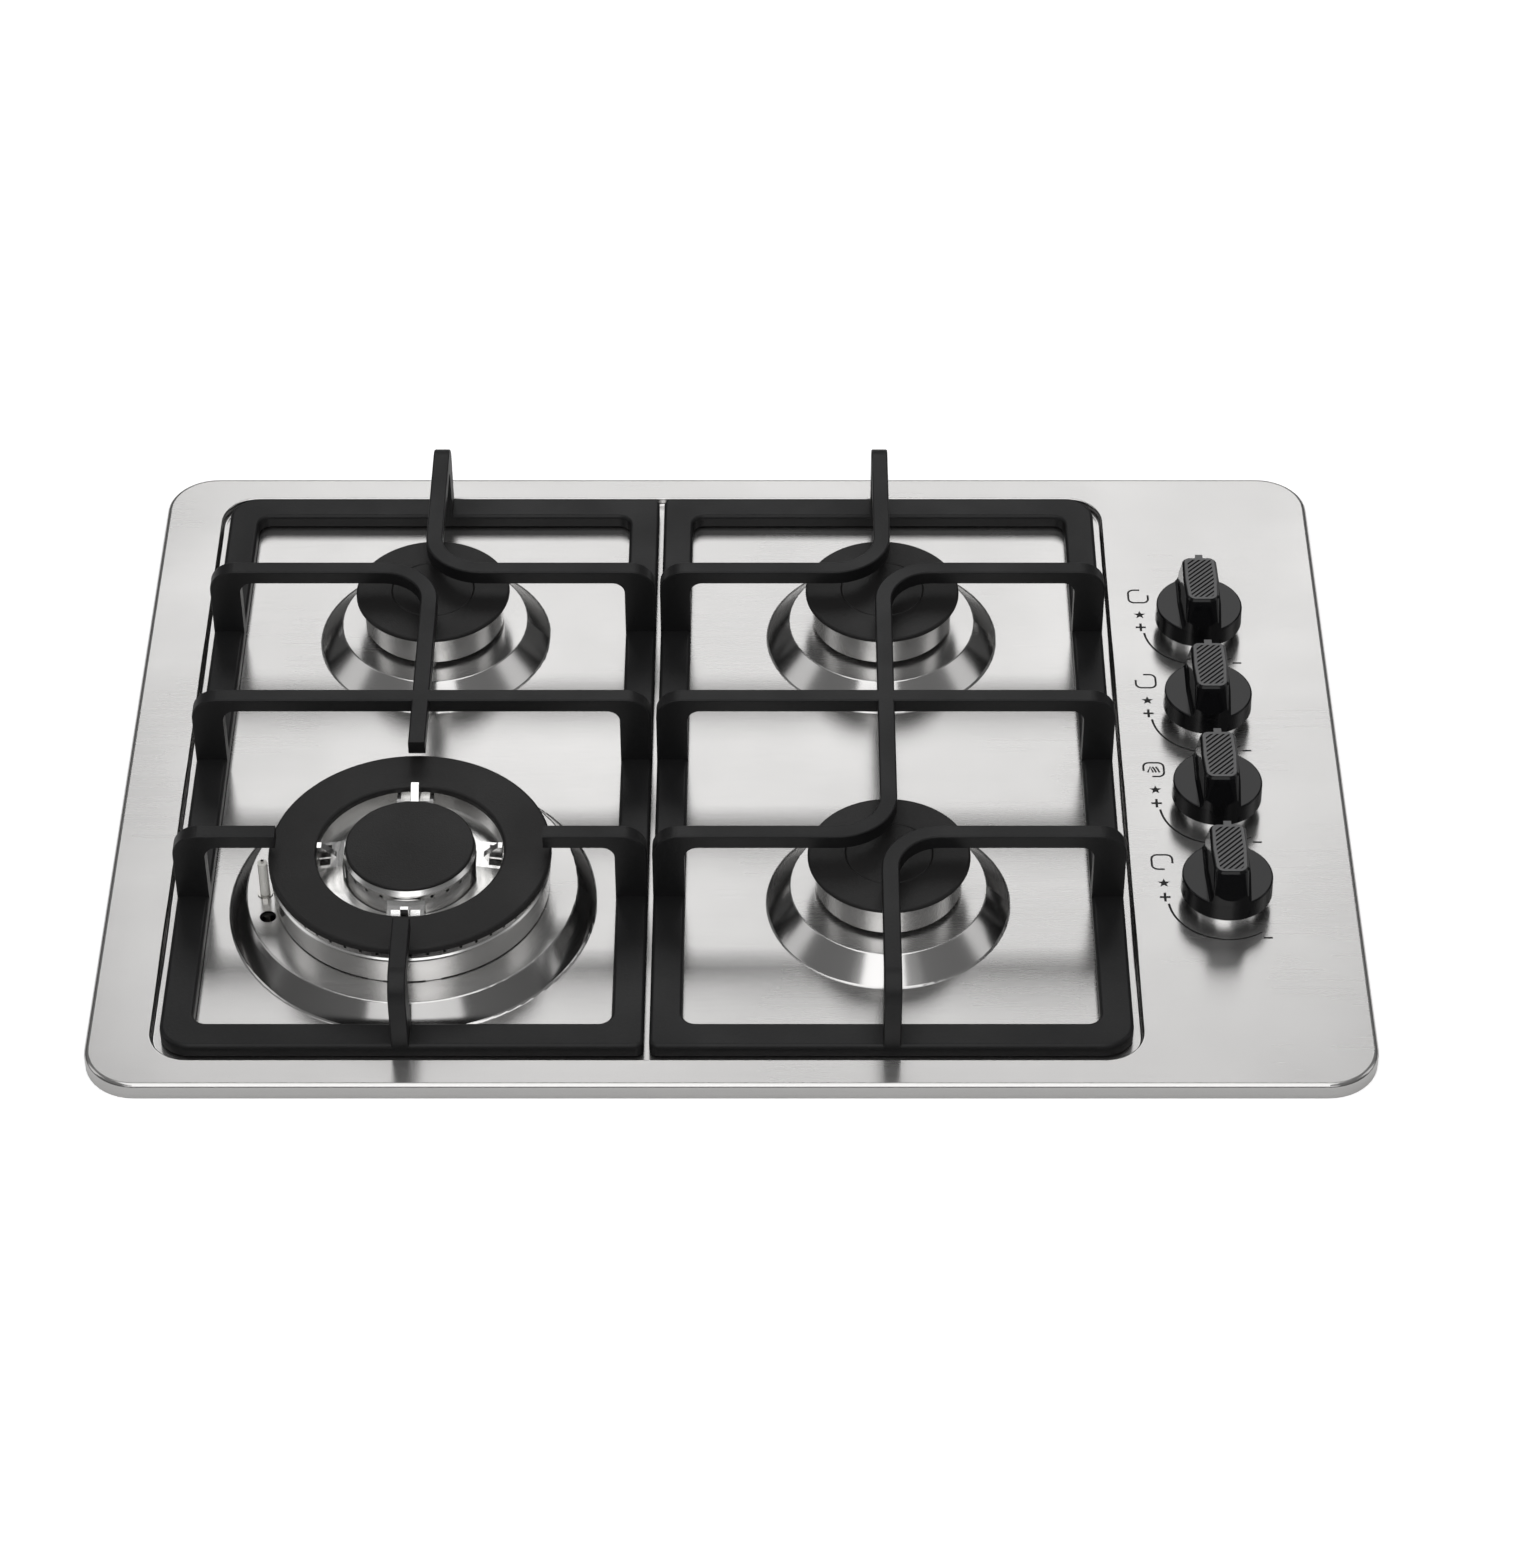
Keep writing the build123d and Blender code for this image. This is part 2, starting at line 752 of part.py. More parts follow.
single_jet = injector(0.5)
triple_jet = injector(0.7)
jet_z = under_cone_z - cup_flange_thickness
with BuildPart() as injectors:
    with Locations([(x, y, jet_z - cup_depth) for x, y in single_places.values()]):
        add(single_jet)
    with Locations((triple_x, triple_y, jet_z - triple_cup_depth)):
        add(triple_jet)
save(injectors, "injectors")


# ---------------------------------------------------------------- single burners
def flame_spreader(x, y):
    """Aluminium ring that mixes the gas: a venturi, a floor and a slotted outer wall."""
    inner_r = spreader_r - spreader_wall
    spigot_r = neck_r - neck_wall - slip
    throat_r = venturi_r + venturi_wall
    with BuildPart() as ring:
        with BuildSketch(Plane.XZ.offset(-y)):
            with BuildLine():
                Polyline(
                    (x + venturi_r, spreader_z - venturi_drop),
                    (x + throat_r, spreader_z - venturi_drop),
                    (x + throat_r, spreader_z),
                    (x + spigot_r - spigot_wall, spreader_z),
                    (x + spigot_r - spigot_wall, spreader_z - spigot_depth),
                    (x + spigot_r, spreader_z - spigot_depth),
                    (x + spigot_r, spreader_z),
                    (x + spreader_r, spreader_z),
                    (x + spreader_r, spreader_top_z),
                    (x + inner_r, spreader_top_z),
                    (x + inner_r, spreader_z + spreader_floor),
                    (x + throat_r, spreader_z + spreader_floor),
                    (x + throat_r, spreader_z + venturi_rise),
                    (x + venturi_r, spreader_z + venturi_rise),
                    close=True,
                )
            make_face()
        revolve(axis=Axis((x, y, 0), (0, 0, 1)))
        with BuildSketch(Plane.XY.offset(spreader_top_z)):
            with Locations((x, y)):
                with PolarLocations(spreader_r - spreader_wall / 2, slot_count):
                    Rectangle(2 * spreader_wall, slot_width)
        extrude(amount=-slot_depth, mode=Mode.SUBTRACT)
    return ring


def round_cap(place, z, radius, edge, corner, crown, lip_outer_r, groove_r=0.0):
    """Enamelled cap with a rounded edge, a slightly raised top and a locating lip below."""
    x, y = place
    top_points = [(x + radius - corner, z + edge)]
    if groove_r:
        groove_z = z + edge + crown * (1 - groove_r / (radius - corner))
        half = cap_groove_width / 2
        top_points.append((x + groove_r + half, groove_z))
        top_points.append((x + groove_r, groove_z - half))
        top_points.append((x + groove_r - half, groove_z))
    top_points.append((x, z + edge + crown))
    with BuildPart() as cap:
        with BuildSketch(Plane.XZ.offset(-y)):
            with BuildLine():
                Polyline(
                    (x, z + edge + crown),
                    (x, z),
                    (x + lip_outer_r - cap_lip_wall, z),
                    (x + lip_outer_r - cap_lip_wall, z - cap_lip_depth),
                    (x + lip_outer_r, z - cap_lip_depth),
                    (x + lip_outer_r, z),
                    (x + radius - cap_under_round, z),
                    (x + radius, z + cap_under_round),
                    (x + radius, z + edge - corner),
                )
                RadiusArc((x + radius, z + edge - corner), (x + radius - corner, z + edge), -corner)
                Polyline(*top_points)
            make_face()
        revolve(axis=Axis((x, y, 0), (0, 0, 1)))
    return cap


for key, place in single_places.items():
    spreader = flame_spreader(*place)
    save(spreader, f"flame_spreader_{key}")
    burner_cap = round_cap(
        place, spreader_top_z, cap_r, cap_edge, cap_round, cap_crown,
        spreader_r - spreader_wall - slip, cap_groove_r,
    )
    save(burner_cap, f"burner_cap_{key}")

# ---------------------------------------------------------------- triple-ring burner
triple_spigot_r = triple_neck_r - neck_wall - slip
bridge_in = inner_ring_r + slip
bridge_out = inner_wall_r + triple_wall / 2
fin_out = ring_cap_hole_r - loose
fin_in = bridge_in + 2.0
fin_top_z = triple_top_z + ring_cap_thickness + fin_rise


def upright_plane(angle):
    """Upright plane through the triple burner's axis: its own x runs outward at the angle."""
    return Plane(
        origin=(triple_x, triple_y, 0),
        x_dir=(cos(radians(angle)), sin(radians(angle)), 0),
        z_dir=(sin(radians(angle)), -cos(radians(angle)), 0),
    )


def port_plane(radius, angle, z):
    """Plane that looks outward from the triple burner's axis, for a hole drilled at the angle."""
    return Plane(
        origin=(*polar(triple_x, triple_y, radius, angle), z),
        x_dir=(-sin(radians(angle)), cos(radians(angle)), 0),
        z_dir=(cos(radians(angle)), sin(radians(angle)), 0),
    )


with BuildPart() as triple_burner_body:
    with BuildSketch(Plane.XZ.offset(-triple_y)):
        with BuildLine():
            Polyline(
                (triple_x + inner_opening_r, triple_seat_z),
                (triple_x + triple_spigot_r - spigot_wall, triple_seat_z),
                (triple_x + triple_spigot_r - spigot_wall, triple_seat_z - spigot_depth),
                (triple_x + triple_spigot_r, triple_seat_z - spigot_depth),
                (triple_x + triple_spigot_r, triple_seat_z),
                (triple_x + triple_skirt_r - triple_wall, triple_seat_z),
                (triple_x + triple_skirt_r - triple_wall, triple_z),
                (triple_x + triple_skirt_r, triple_z),
                (triple_x + triple_lip_r, triple_lip_z - 1.0),
                (triple_x + triple_lip_r, triple_lip_z),
                (triple_x + triple_crown_r, triple_lip_z + 0.6),
                (triple_x + triple_crown_r, triple_top_z),
                (triple_x + triple_crown_r - triple_wall, triple_top_z),
                (triple_x + triple_crown_r - triple_wall, triple_floor_z),
                (triple_x + inner_wall_r + triple_wall, triple_floor_z),
                (triple_x + inner_wall_r + triple_wall, triple_top_z),
                (triple_x + inner_wall_r, triple_top_z),
                (triple_x + inner_wall_r - 1.5, dish_z),
                (triple_x + bridge_in + 1.0, dish_z),
                (triple_x + bridge_in, dish_z - 1.0),
                (triple_x + bridge_in, inner_seat_z),
                (triple_x + inner_opening_r, inner_seat_z),
                close=True,
            )
        make_face()
    revolve(axis=Axis((triple_x, triple_y, 0), (0, 0, 1)))
    for angle in (0, 90, 180, 270):
        # bridge between the centre and the outer ring
        with BuildSketch(upright_plane(angle)):
            with BuildLine():
                Polyline(
                    (bridge_in, dish_z - 1.0),
                    (bridge_out, dish_z - 1.0),
                    (bridge_out, triple_top_z - 0.8),
                    (inner_wall_r - 2.0, triple_top_z - 0.8),
                    (bridge_in, triple_top_z + 1.0),
                    close=True,
                )
            make_face()
        extrude(amount=bridge_width / 2, both=True)
        # a trough on each side of the fin
        for side in (-1, 1):
            with BuildSketch(upright_plane(angle).offset(side * (fin_width / 2 + 2.7))):
                with BuildLine():
                    Polyline(
                        (bridge_in + 4.0, triple_top_z + 2.0),
                        (inner_wall_r - 0.2, triple_top_z + 2.0),
                        (inner_wall_r - 0.2, dish_z + 2.0),
                        (inner_wall_r - 2.5, dish_z + 2.0),
                        close=True,
                    )
                make_face()
            extrude(amount=2.2, both=True, mode=Mode.SUBTRACT)
        # upright fin that centres the ring cap
        with BuildSketch(upright_plane(angle)):
            with BuildLine():
                Polyline(
                    (fin_in, dish_z),
                    (fin_out, dish_z),
                    (fin_out, fin_top_z),
                    (fin_out - 2.0, fin_top_z),
                    (fin_in, triple_top_z - 0.5),
                    close=True,
                )
            make_face()
        extrude(amount=fin_width / 2, both=True)
        # gas way from the centre to the outer channel
        with BuildSketch(port_plane(inner_opening_r, angle, dish_z + 3.0)):
            Circle(1.6)
        extrude(amount=bridge_out + triple_wall - inner_opening_r, mode=Mode.SUBTRACT)
    # flame ports round the crown
    for index in range(triple_port_count):
        angle = 360 / triple_port_count * (index + 0.5)
        with BuildSketch(port_plane(triple_crown_r - 2 * triple_wall, angle, triple_port_z)):
            Circle(triple_port_r)
        extrude(amount=3 * triple_wall, mode=Mode.SUBTRACT)
    # feet that show below the skirt
    foot_r_from_axis = triple_skirt_r - triple_wall / 2
    foot_places = [polar(0, 0, foot_r_from_axis, angle) for angle in triple_foot_angles]
    with BuildSketch(Plane.XY.offset(triple_z)):
        with Locations((triple_x, triple_y)):
            with Locations(
                [Location((*place, 0), (0, 0, a)) for place, a in zip(foot_places, triple_foot_angles)]
            ):
                Rectangle(triple_wall - 0.3, 7.0)
    extrude(amount=slip - triple_gap)
save(triple_burner_body, "triple_burner_body")

with BuildPart() as triple_inner_ring:
    with BuildSketch(Plane.XZ.offset(-triple_y)):
        with BuildLine():
            Polyline(
                (triple_x + inner_opening_r - 2.0, inner_seat_z),
                (triple_x + inner_ring_r, inner_seat_z),
                (triple_x + inner_ring_r, centre_cap_z - 2.2),
                (triple_x + centre_cap_r - 0.9, centre_cap_z - 0.4),
                (triple_x + centre_cap_r - 0.9, centre_cap_z),
                (triple_x + centre_cap_r - inner_ring_wall, centre_cap_z),
                (triple_x + centre_cap_r - inner_ring_wall, inner_seat_z + 2.0),
                (triple_x + inner_opening_r - 2.0, inner_seat_z + 2.0),
                close=True,
            )
        make_face()
    revolve(axis=Axis((triple_x, triple_y, 0), (0, 0, 1)))
    for index in range(inner_port_count):
        angle = 360 / inner_port_count * (index + 0.5)
        with BuildSketch(port_plane(inner_ring_r - 7.0, angle, centre_cap_z - inner_port_drop)):
            Circle(inner_port_r)
        extrude(amount=8.0, mode=Mode.SUBTRACT)
    for angle in (0, 90, 180, 270):
        with BuildSketch(port_plane(inner_opening_r, angle, dish_z + 3.0)):
            Circle(1.6)
        extrude(amount=inner_ring_r, mode=Mode.SUBTRACT)
save(triple_inner_ring, "triple_inner_ring")

with BuildPart() as triple_ring_cap:
    with Locations((triple_x, triple_y, triple_top_z)):
        Cylinder(ring_cap_r, ring_cap_thickness, align=upright)
        Cylinder(ring_cap_hole_r, ring_cap_thickness, align=upright, mode=Mode.SUBTRACT)
    fillet(triple_ring_cap.faces().sort_by(Axis.Z)[-1].edges(), ring_cap_round)
    # lip that drops into the gas channel
    ring_lip_r = triple_crown_r - triple_wall - slip
    with Locations((triple_x, triple_y, triple_top_z - cap_lip_depth)):
        Cylinder(ring_lip_r, cap_lip_depth, align=upright)
        Cylinder(ring_lip_r - cap_lip_wall, cap_lip_depth, align=upright, mode=Mode.SUBTRACT)
save(triple_ring_cap, "triple_ring_cap")

triple_centre_cap = round_cap(
    (triple_x, triple_y), centre_cap_z, centre_cap_r, centre_cap_edge, centre_cap_round,
    centre_cap_crown, centre_cap_r - inner_ring_wall - slip,
)
save(triple_centre_cap, "triple_centre_cap")

# ---------------------------------------------------------------- igniters
ceramic_tops = {key: spreader_z + small_ceramic_rise for key in single_places}
ceramic_tops["fl"] = triple_top_z + slip

with BuildPart() as igniter_insulators:
    for key, (x, y) in igniter_places.items():
        with Locations((x, y, igniter_foot_z)):
            Cylinder(igniter_r, ceramic_tops[key] - igniter_foot_z, align=upright)
        with Locations((x, y, under_cone_z - igniter_collar_height)):
            Cylinder(igniter_collar_r, igniter_collar_height, align=upright)
        with Locations((x, y, igniter_foot_z)):
            Cylinder(
                electrode_r, ceramic_tops[key] - igniter_foot_z, align=upright, mode=Mode.SUBTRACT
            )
save(igniter_insulators, "igniter_insulators")

with BuildPart() as igniter_electrodes:
    for key, (x, y) in igniter_places.items():
        with Locations((x, y, igniter_foot_z)):
            Cylinder(electrode_r, ceramic_tops[key] - igniter_foot_z + electrode_tip, align=upright)
save(igniter_electrodes, "igniter_electrodes")

clip_lug_x = clip_length / 2 - clip_thickness
clip_turns = {"rl": 0, "rr": 0, "fl": triple_igniter_angle - 90, "fr": 0}
clip_places = [Location((x, y, 0), (0, 0, clip_turns[key])) for key, (x, y) in igniter_places.items()]
with BuildPart() as igniter_clips:
    with BuildSketch(Plane.XY.offset(cone_z)):
        with Locations(clip_places):
            Circle(igniter_collar_r)
            Rectangle(clip_length, clip_width)
            Circle(igniter_r + running, mode=Mode.SUBTRACT)
    extrude(amount=clip_thickness)
    with BuildSketch(Plane.XY.offset(cone_z + clip_thickness)):
        with Locations(clip_places):
            with Locations((-clip_lug_x, 0), (clip_lug_x, 0)):
                Rectangle(2 * clip_thickness, clip_width)
    extrude(amount=2 * clip_thickness)
save(igniter_clips, "igniter_clips")

# ---------------------------------------------------------------- spark generator and wiring
with BuildPart() as spark_generator:
    with Locations((generator_x, 0, tray_wall)):
        Box(generator_length, generator_width, generator_height, align=upright)
    fillet(spark_generator.edges().filter_by(Axis.Z), 3.0)
    fillet(spark_generator.faces().sort_by(Axis.Z)[-1].edges(), 1.0)
    for side in (-1, 1):
        boot_x = side * (generator_length / 2 + boot_reach)
        with BuildSketch(Plane.YZ.offset(generator_x)):
            with Locations((-boot_y, lead_z), (boot_y, lead_z)):
                Circle(boot_r)
        extrude(amount=boot_x)
        with BuildSketch(Plane.YZ.offset(generator_x + boot_x)):
            with Locations((-boot_y, lead_z), (boot_y, lead_z)):
                Circle(lead_r + running)
        extrude(amount=-side * (boot_reach - 1.0), mode=Mode.SUBTRACT)
save(spark_generator, "spark_generator")


def tube(points, radii, outer_r, bore_r=0.0):
    """Round tube or wire along straight runs joined by arcs, one radius for each corner."""
    with BuildLine() as route:
        if radii:
            FilletPolyline(*points, radius=radii)
        else:
            Line(*points)
    path = route.wires()[0]
    with BuildPart() as bent:
        with BuildSketch(Plane(origin=path @ 0, z_dir=path % 0)):
            Circle(outer_r)
            if bore_r:
                Circle(bore_r, mode=Mode.SUBTRACT)
        sweep(path=path)
    return bent


left_socket = generator_x - generator_length / 2 - 1.0
right_socket = generator_x + generator_length / 2 + 1.0
lead_turns = {
    "rl": (left_socket, boot_y, left_socket - 38),
    "rr": (right_socket, boot_y, right_socket + 25),
    "fl": (left_socket, -boot_y, left_socket - 58),
    "fr": (right_socket, -boot_y, right_socket + 35),
}
with BuildPart() as ignition_leads:
    for key, (start_x, start_y, turn_x) in lead_turns.items():
        end_x, end_y = igniter_places[key]
        lead = tube(
            [
                (start_x, start_y, lead_z),
                (turn_x, start_y, lead_z),
                (end_x, end_y, lead_z),
                (end_x, end_y, igniter_foot_z),
            ],
            [20.0, 9.0],
            lead_r,
        )
        add(lead)
save(ignition_leads, "ignition_leads")

with BuildPart() as terminal_box:
    with Locations((terminal_x, terminal_y, tray_wall)):
        Box(terminal_length, terminal_width, terminal_height, align=upright)
    fillet(terminal_box.edges().filter_by(Axis.Z), 2.0)
    fillet(terminal_box.faces().sort_by(Axis.Z)[-1].edges(), 1.0)
    with Locations((terminal_x, terminal_y, tray_wall + terminal_height)):
        Cylinder(3.0, 1.2, align=upright)
        Cylinder(1.6, 5.0, mode=Mode.SUBTRACT)
save(terminal_box, "terminal_box")

with BuildPart() as cable_gland:
    with BuildSketch(Plane.YZ.offset(notch_wall_x - 7.0)):
        with Locations((gland_y, gland_z)):
            Circle(gland_r)
    extrude(amount=16.0)
    with BuildSketch(Plane.YZ.offset(notch_wall_x)):
        with Locations((gland_y, gland_z)):
            RegularPolygon(gland_r + 2.5, 6)
    extrude(amount=4.0)
    with BuildSketch(Plane.YZ.offset(notch_wall_x - tray_wall)):
        with Locations((gland_y, gland_z)):
            RegularPolygon(gland_r + 2.5, 6)
    extrude(amount=-3.0)
    with BuildSketch(Plane.YZ.offset(notch_wall_x - 8.0)):
        with Locations((gland_y, gland_z)):
            Circle(gland_bore_r)
    extrude(amount=20.0, mode=Mode.SUBTRACT)
save(cable_gland, "cable_gland")

# ---------------------------------------------------------------- gas rail, taps and pipes
tap_face_x = knob_x + tap_length / 2
outlet_x = knob_x - tap_length / 2 - boss_length
rail_front_y = -1.5 * knob_pitch - 22.0
rail_rear_y = notch_wall_y + 8.0
union_y = notch_wall_y + 1.5

with BuildPart() as gas_rail:
    with BuildSketch(Plane.XZ.offset(-rail_front_y)):
        with Locations((rail_x, gas_z)):
            Circle(rail_r)
    extrude(amount=rail_front_y - rail_rear_y)
    with BuildSketch(Plane.XZ.offset(-rail_front_y - rail_wall)):
        with Locations((rail_x, gas_z)):
            Circle(rail_r - rail_wall)
    extrude(amount=rail_front_y - rail_rear_y, mode=Mode.SUBTRACT)
    with BuildSketch(Plane.YZ.offset(rail_x)):
        with Locations([(y, gas_z) for y in knob_rows.values()]):
            Circle(tap_stub_r + running)
    extrude(amount=-rail_r, mode=Mode.SUBTRACT)
save(gas_rail, "gas_rail")

with BuildPart() as gas_inlet_union:
    with BuildSketch(Plane.XZ.offset(-union_y)):
        with Locations((rail_x, gas_z)):
            RegularPolygon(union_hex_r, 6)
    extrude(amount=-union_hex_length)
    with BuildSketch(Plane.XZ.offset(-union_y)):
        with Locations((rail_x, gas_z)):
            Circle(inlet_thread_r)
    extrude(amount=-union_hex_length - inlet_thread_length)
    with BuildSketch(Plane.XZ.offset(-union_y)):
        with Locations((rail_x, gas_z)):
            Circle(rail_r + running)
    extrude(amount=union_y - rail_rear_y, mode=Mode.SUBTRACT)
    with BuildSketch(Plane.XZ.offset(-union_y)):
        with Locations((rail_x, gas_z)):
            Circle(rail_r - rail_wall)
    extrude(amount=-union_hex_length - inlet_thread_length, mode=Mode.SUBTRACT)
save(gas_inlet_union, "gas_inlet_union")


def tap_body(y):
    """Brass tap: a block with a tapered seat for the plug, an outlet boss and a stub into the rail."""
    with BuildPart() as body:
        with Locations((knob_x, y, tap_floor_z)):
            Box(tap_length, tap_width, tap_height, align=upright)
        fillet(body.edges().filter_by(Axis.Z), 2.5)
        with BuildSketch(Plane.YZ.offset(knob_x)):
            with Locations((y, gas_z)):
                Circle(boss_r)
        extrude(amount=outlet_x - knob_x)
        with BuildSketch(Plane.YZ.offset(knob_x)):
            with Locations((y, gas_z)):
                Circle(tap_stub_r)
        extrude(amount=rail_x - rail_r + 2.0 - knob_x)
        with BuildSketch(Plane.YZ.offset(outlet_x)):
            with Locations((y, gas_z)):
                Circle(pipe_r + running)
        extrude(amount=boss_length, mode=Mode.SUBTRACT)
        with BuildSketch(Plane.YZ.offset(outlet_x)):
            with Locations((y, gas_z)):
                Circle(gas_way_r)
        extrude(amount=rail_x - outlet_x, mode=Mode.SUBTRACT)
        with Locations((knob_x, y, plug_z)):
            Cone(
                plug_bottom_r + running,
                plug_top_r + running,
                plug_length,
                align=upright,
                mode=Mode.SUBTRACT,
            )
        with Locations((knob_x, y, plug_top_z)):
            Cylinder(chamber_r, tap_top_z - plug_top_z, align=upright, mode=Mode.SUBTRACT)
        with Locations([(knob_x + tap_screw_x, y + side * tap_screw_y, tap_top_z) for side in (-1, 1)]):
            Hole(small_screw_r + running, depth=tap_screw_depth)
    return body


with BuildPart() as tap_bodies:
    for y in knob_rows.values():
        add(tap_body(y))
save(tap_bodies, "tap_bodies")

with BuildPart() as tap_covers:
    with BuildSketch(Plane.XY.offset(tap_top_z)):
        with Locations([(knob_x, y) for y in knob_rows.values()]):
            RectangleRounded(tap_length, tap_width, 2.5)
            Circle(spindle_r + running, mode=Mode.SUBTRACT)
            with Locations((tap_screw_x, tap_screw_y), (tap_screw_x, -tap_screw_y)):
                Circle(small_screw_r + running, mode=Mode.SUBTRACT)
    extrude(amount=cover_thickness)
save(tap_covers, "tap_covers")

tap_screw = pan_screw(small_screw_head_r, small_screw_r, cover_thickness + tap_screw_depth - 1.0)
with BuildPart() as tap_screws:
    for y in knob_rows.values():
        with Locations([(knob_x + tap_screw_x, y + side * tap_screw_y, cover_top_z) for side in (-1, 1)]):
            add(tap_screw)
save(tap_screws, "tap_screws")

switch_x = knob_x - switch_offset
lever_length = switch_offset - switch_width / 2 - spindle_r - slip
with BuildPart() as ignition_switches:
    with BuildSketch(Plane.XY.offset(cover_top_z)):
        with Locations([(switch_x, y) for y in knob_rows.values()]):
            Rectangle(switch_width, switch_length)
    extrude(amount=switch_height)
    # lever that reaches towards the spindle
    with BuildSketch(Plane.XY.offset(cover_top_z + switch_height - 1.0)):
        with Locations([(switch_x + switch_width / 2, y) for y in knob_rows.values()]):
            Rectangle(lever_length, 4.0, align=(Align.MIN, Align.CENTER))
    extrude(amount=0.6)
save(ignition_switches, "ignition_switches")

pipe_end_x = outlet_x + boss_length - loose
right_turns = (right_column_x + 88.0, right_column_x + 48.0)
left_turns = (left_column_x + 88.0, left_column_x + 53.0)
pipe_routes = {"rr": right_turns, "rl": left_turns, "fl": left_turns, "fr": right_turns}
pipe_places = {**single_places, "fl": (triple_x, triple_y)}
with BuildPart() as gas_pipes:
    for key, (first_turn_x, second_turn_x) in pipe_routes.items():
        cup_x, cup_y = pipe_places[key]
        tap_y = knob_rows[key]
        pipe = tube(
            [
                (pipe_end_x, tap_y, gas_z),
                (first_turn_x, tap_y, gas_z),
                (second_turn_x, cup_y, gas_z),
                (cup_x + holder_r + loose, cup_y, gas_z),
            ],
            [16.0, 16.0],
            pipe_r,
            pipe_r - pipe_wall,
        )
        add(pipe)
save(gas_pipes, "gas_pipes")

wire_z = cover_top_z + 2.0
wire_step = 20.0
wire_turn_y = generator_width / 2 + wire_turn_gap
feed_x = terminal_x - 10.0
feed_y = terminal_y - terminal_width / 2
feed = tube(
    [
        (feed_x, feed_y, feed_z),
        (feed_x, feed_y - wire_step, feed_z),
        (right_column_x - feed_turn_gap, feed_y - wire_step, feed_z),
        (generator_x, wire_turn_y, feed_z),
        (generator_x, generator_width / 2, feed_z),
    ],
    [14.0, 25.0, 20.0],
    feed_r,
)
harness_y = -1.5 * knob_pitch - switch_length / 2
harness = tube(
    [
        (switch_x, harness_y, wire_z),
        (switch_x, harness_y - wire_step, wire_z),
        (switch_x, harness_y - wire_step, feed_z),
        (right_column_x - harness_turn_gap, harness_y - wire_step, feed_z),
        (generator_x, -wire_turn_y, feed_z),
        (generator_x, -generator_width / 2, feed_z),
    ],
    [8.0, 8.0, 25.0, 20.0],
    wire_r,
)
with BuildPart() as inner_wiring:
    add(feed)
    add(harness)
    for step in (-1, 0, 1):
        link_length = knob_pitch - switch_length
        link = tube(
            [
                (switch_x, step * knob_pitch - link_length / 2, wire_z),
                (switch_x, step * knob_pitch + link_length / 2, wire_z),
            ],
            [],
            wire_r,
        )
        add(link)
save(inner_wiring, "inner_wiring")


# ---------------------------------------------------------------- knobs, spindles, plugs and springs
def flat_round(radius, grow):
    """Sketch of a shaft section with one flat, grown all round by a clearance."""
    with BuildSketch() as section:
        Circle(radius + grow)
        with Locations((0, radius - spindle_flat + grow)):
            Rectangle(2 * radius + 2, 2 * radius, align=(Align.CENTER, Align.MIN), mode=Mode.SUBTRACT)
    return section


def kite(front, rear, front_width, middle_width, rear_width, front_round, rear_round):
    """Sketch of a long outline with rounded corners and sides that bulge softly in the middle."""
    with BuildSketch() as outline:
        with BuildLine():
            Polyline(
                (-front_width / 2, -front),
                (front_width / 2, -front),
                (middle_width / 2, 0),
                (rear_width / 2, rear),
                (-rear_width / 2, rear),
                (-middle_width / 2, 0),
                close=True,
            )
        make_face()
        fillet(outline.vertices().sort_by(Axis.Y)[:2], front_round)
        fillet(outline.vertices().sort_by(Axis.Y)[-2:], rear_round)
        fillet(outline.vertices().filter_by_position(Axis.Y, -0.01, 0.01), pad_side_round)
    return outline


def pad_outline(grow):
    """Sketch of the grip's inlay as seen from above, grown all round."""
    return kite(
        pad_front + grow, pad_rear + grow, pad_front_width + 2 * grow, pad_middle_width + 2 * grow,
        pad_rear_width + 2 * grow, pad_front_round + grow, pad_rear_round + grow,
    )


def pointer_outline(grow):
    """Sketch of the pointer at the inlay's rear, grown all round."""
    with BuildSketch() as outline:
        with Locations((0, pad_rear)):
            Rectangle(
                pointer_width + 2 * grow,
                pointer_reach - pad_rear + grow,
                align=(Align.CENTER, Align.MIN),
            )
    return outline


def blade_piece():
    """Grip of the knob: it rises from a flared root across the disc to a bevelled top."""
    with BuildPart() as blade:
        for rise, grow in root_flare:
            with BuildSketch(Plane.XY.offset(knob_disc_z + rise)):
                add(
                    kite(
                        knob_r, knob_r, root_front_width + 2 * grow, root_rear_width + 2 * grow,
                        root_rear_width + 2 * grow - 0.2, root_corner_round, root_corner_round,
                    )
                )
        with BuildSketch(Plane.XY.offset(knob_top_z - blade_bevel)):
            add(pad_outline(blade_border))
        loft(ruled=True)
        extrude(blade.faces().sort_by(Axis.Z)[-1], amount=blade_bevel, taper=45)
        with Locations((0, 0, knob_z)):
            Cylinder(knob_rim_r, knob_top_z - knob_z, align=upright, mode=Mode.INTERSECT)
    return blade


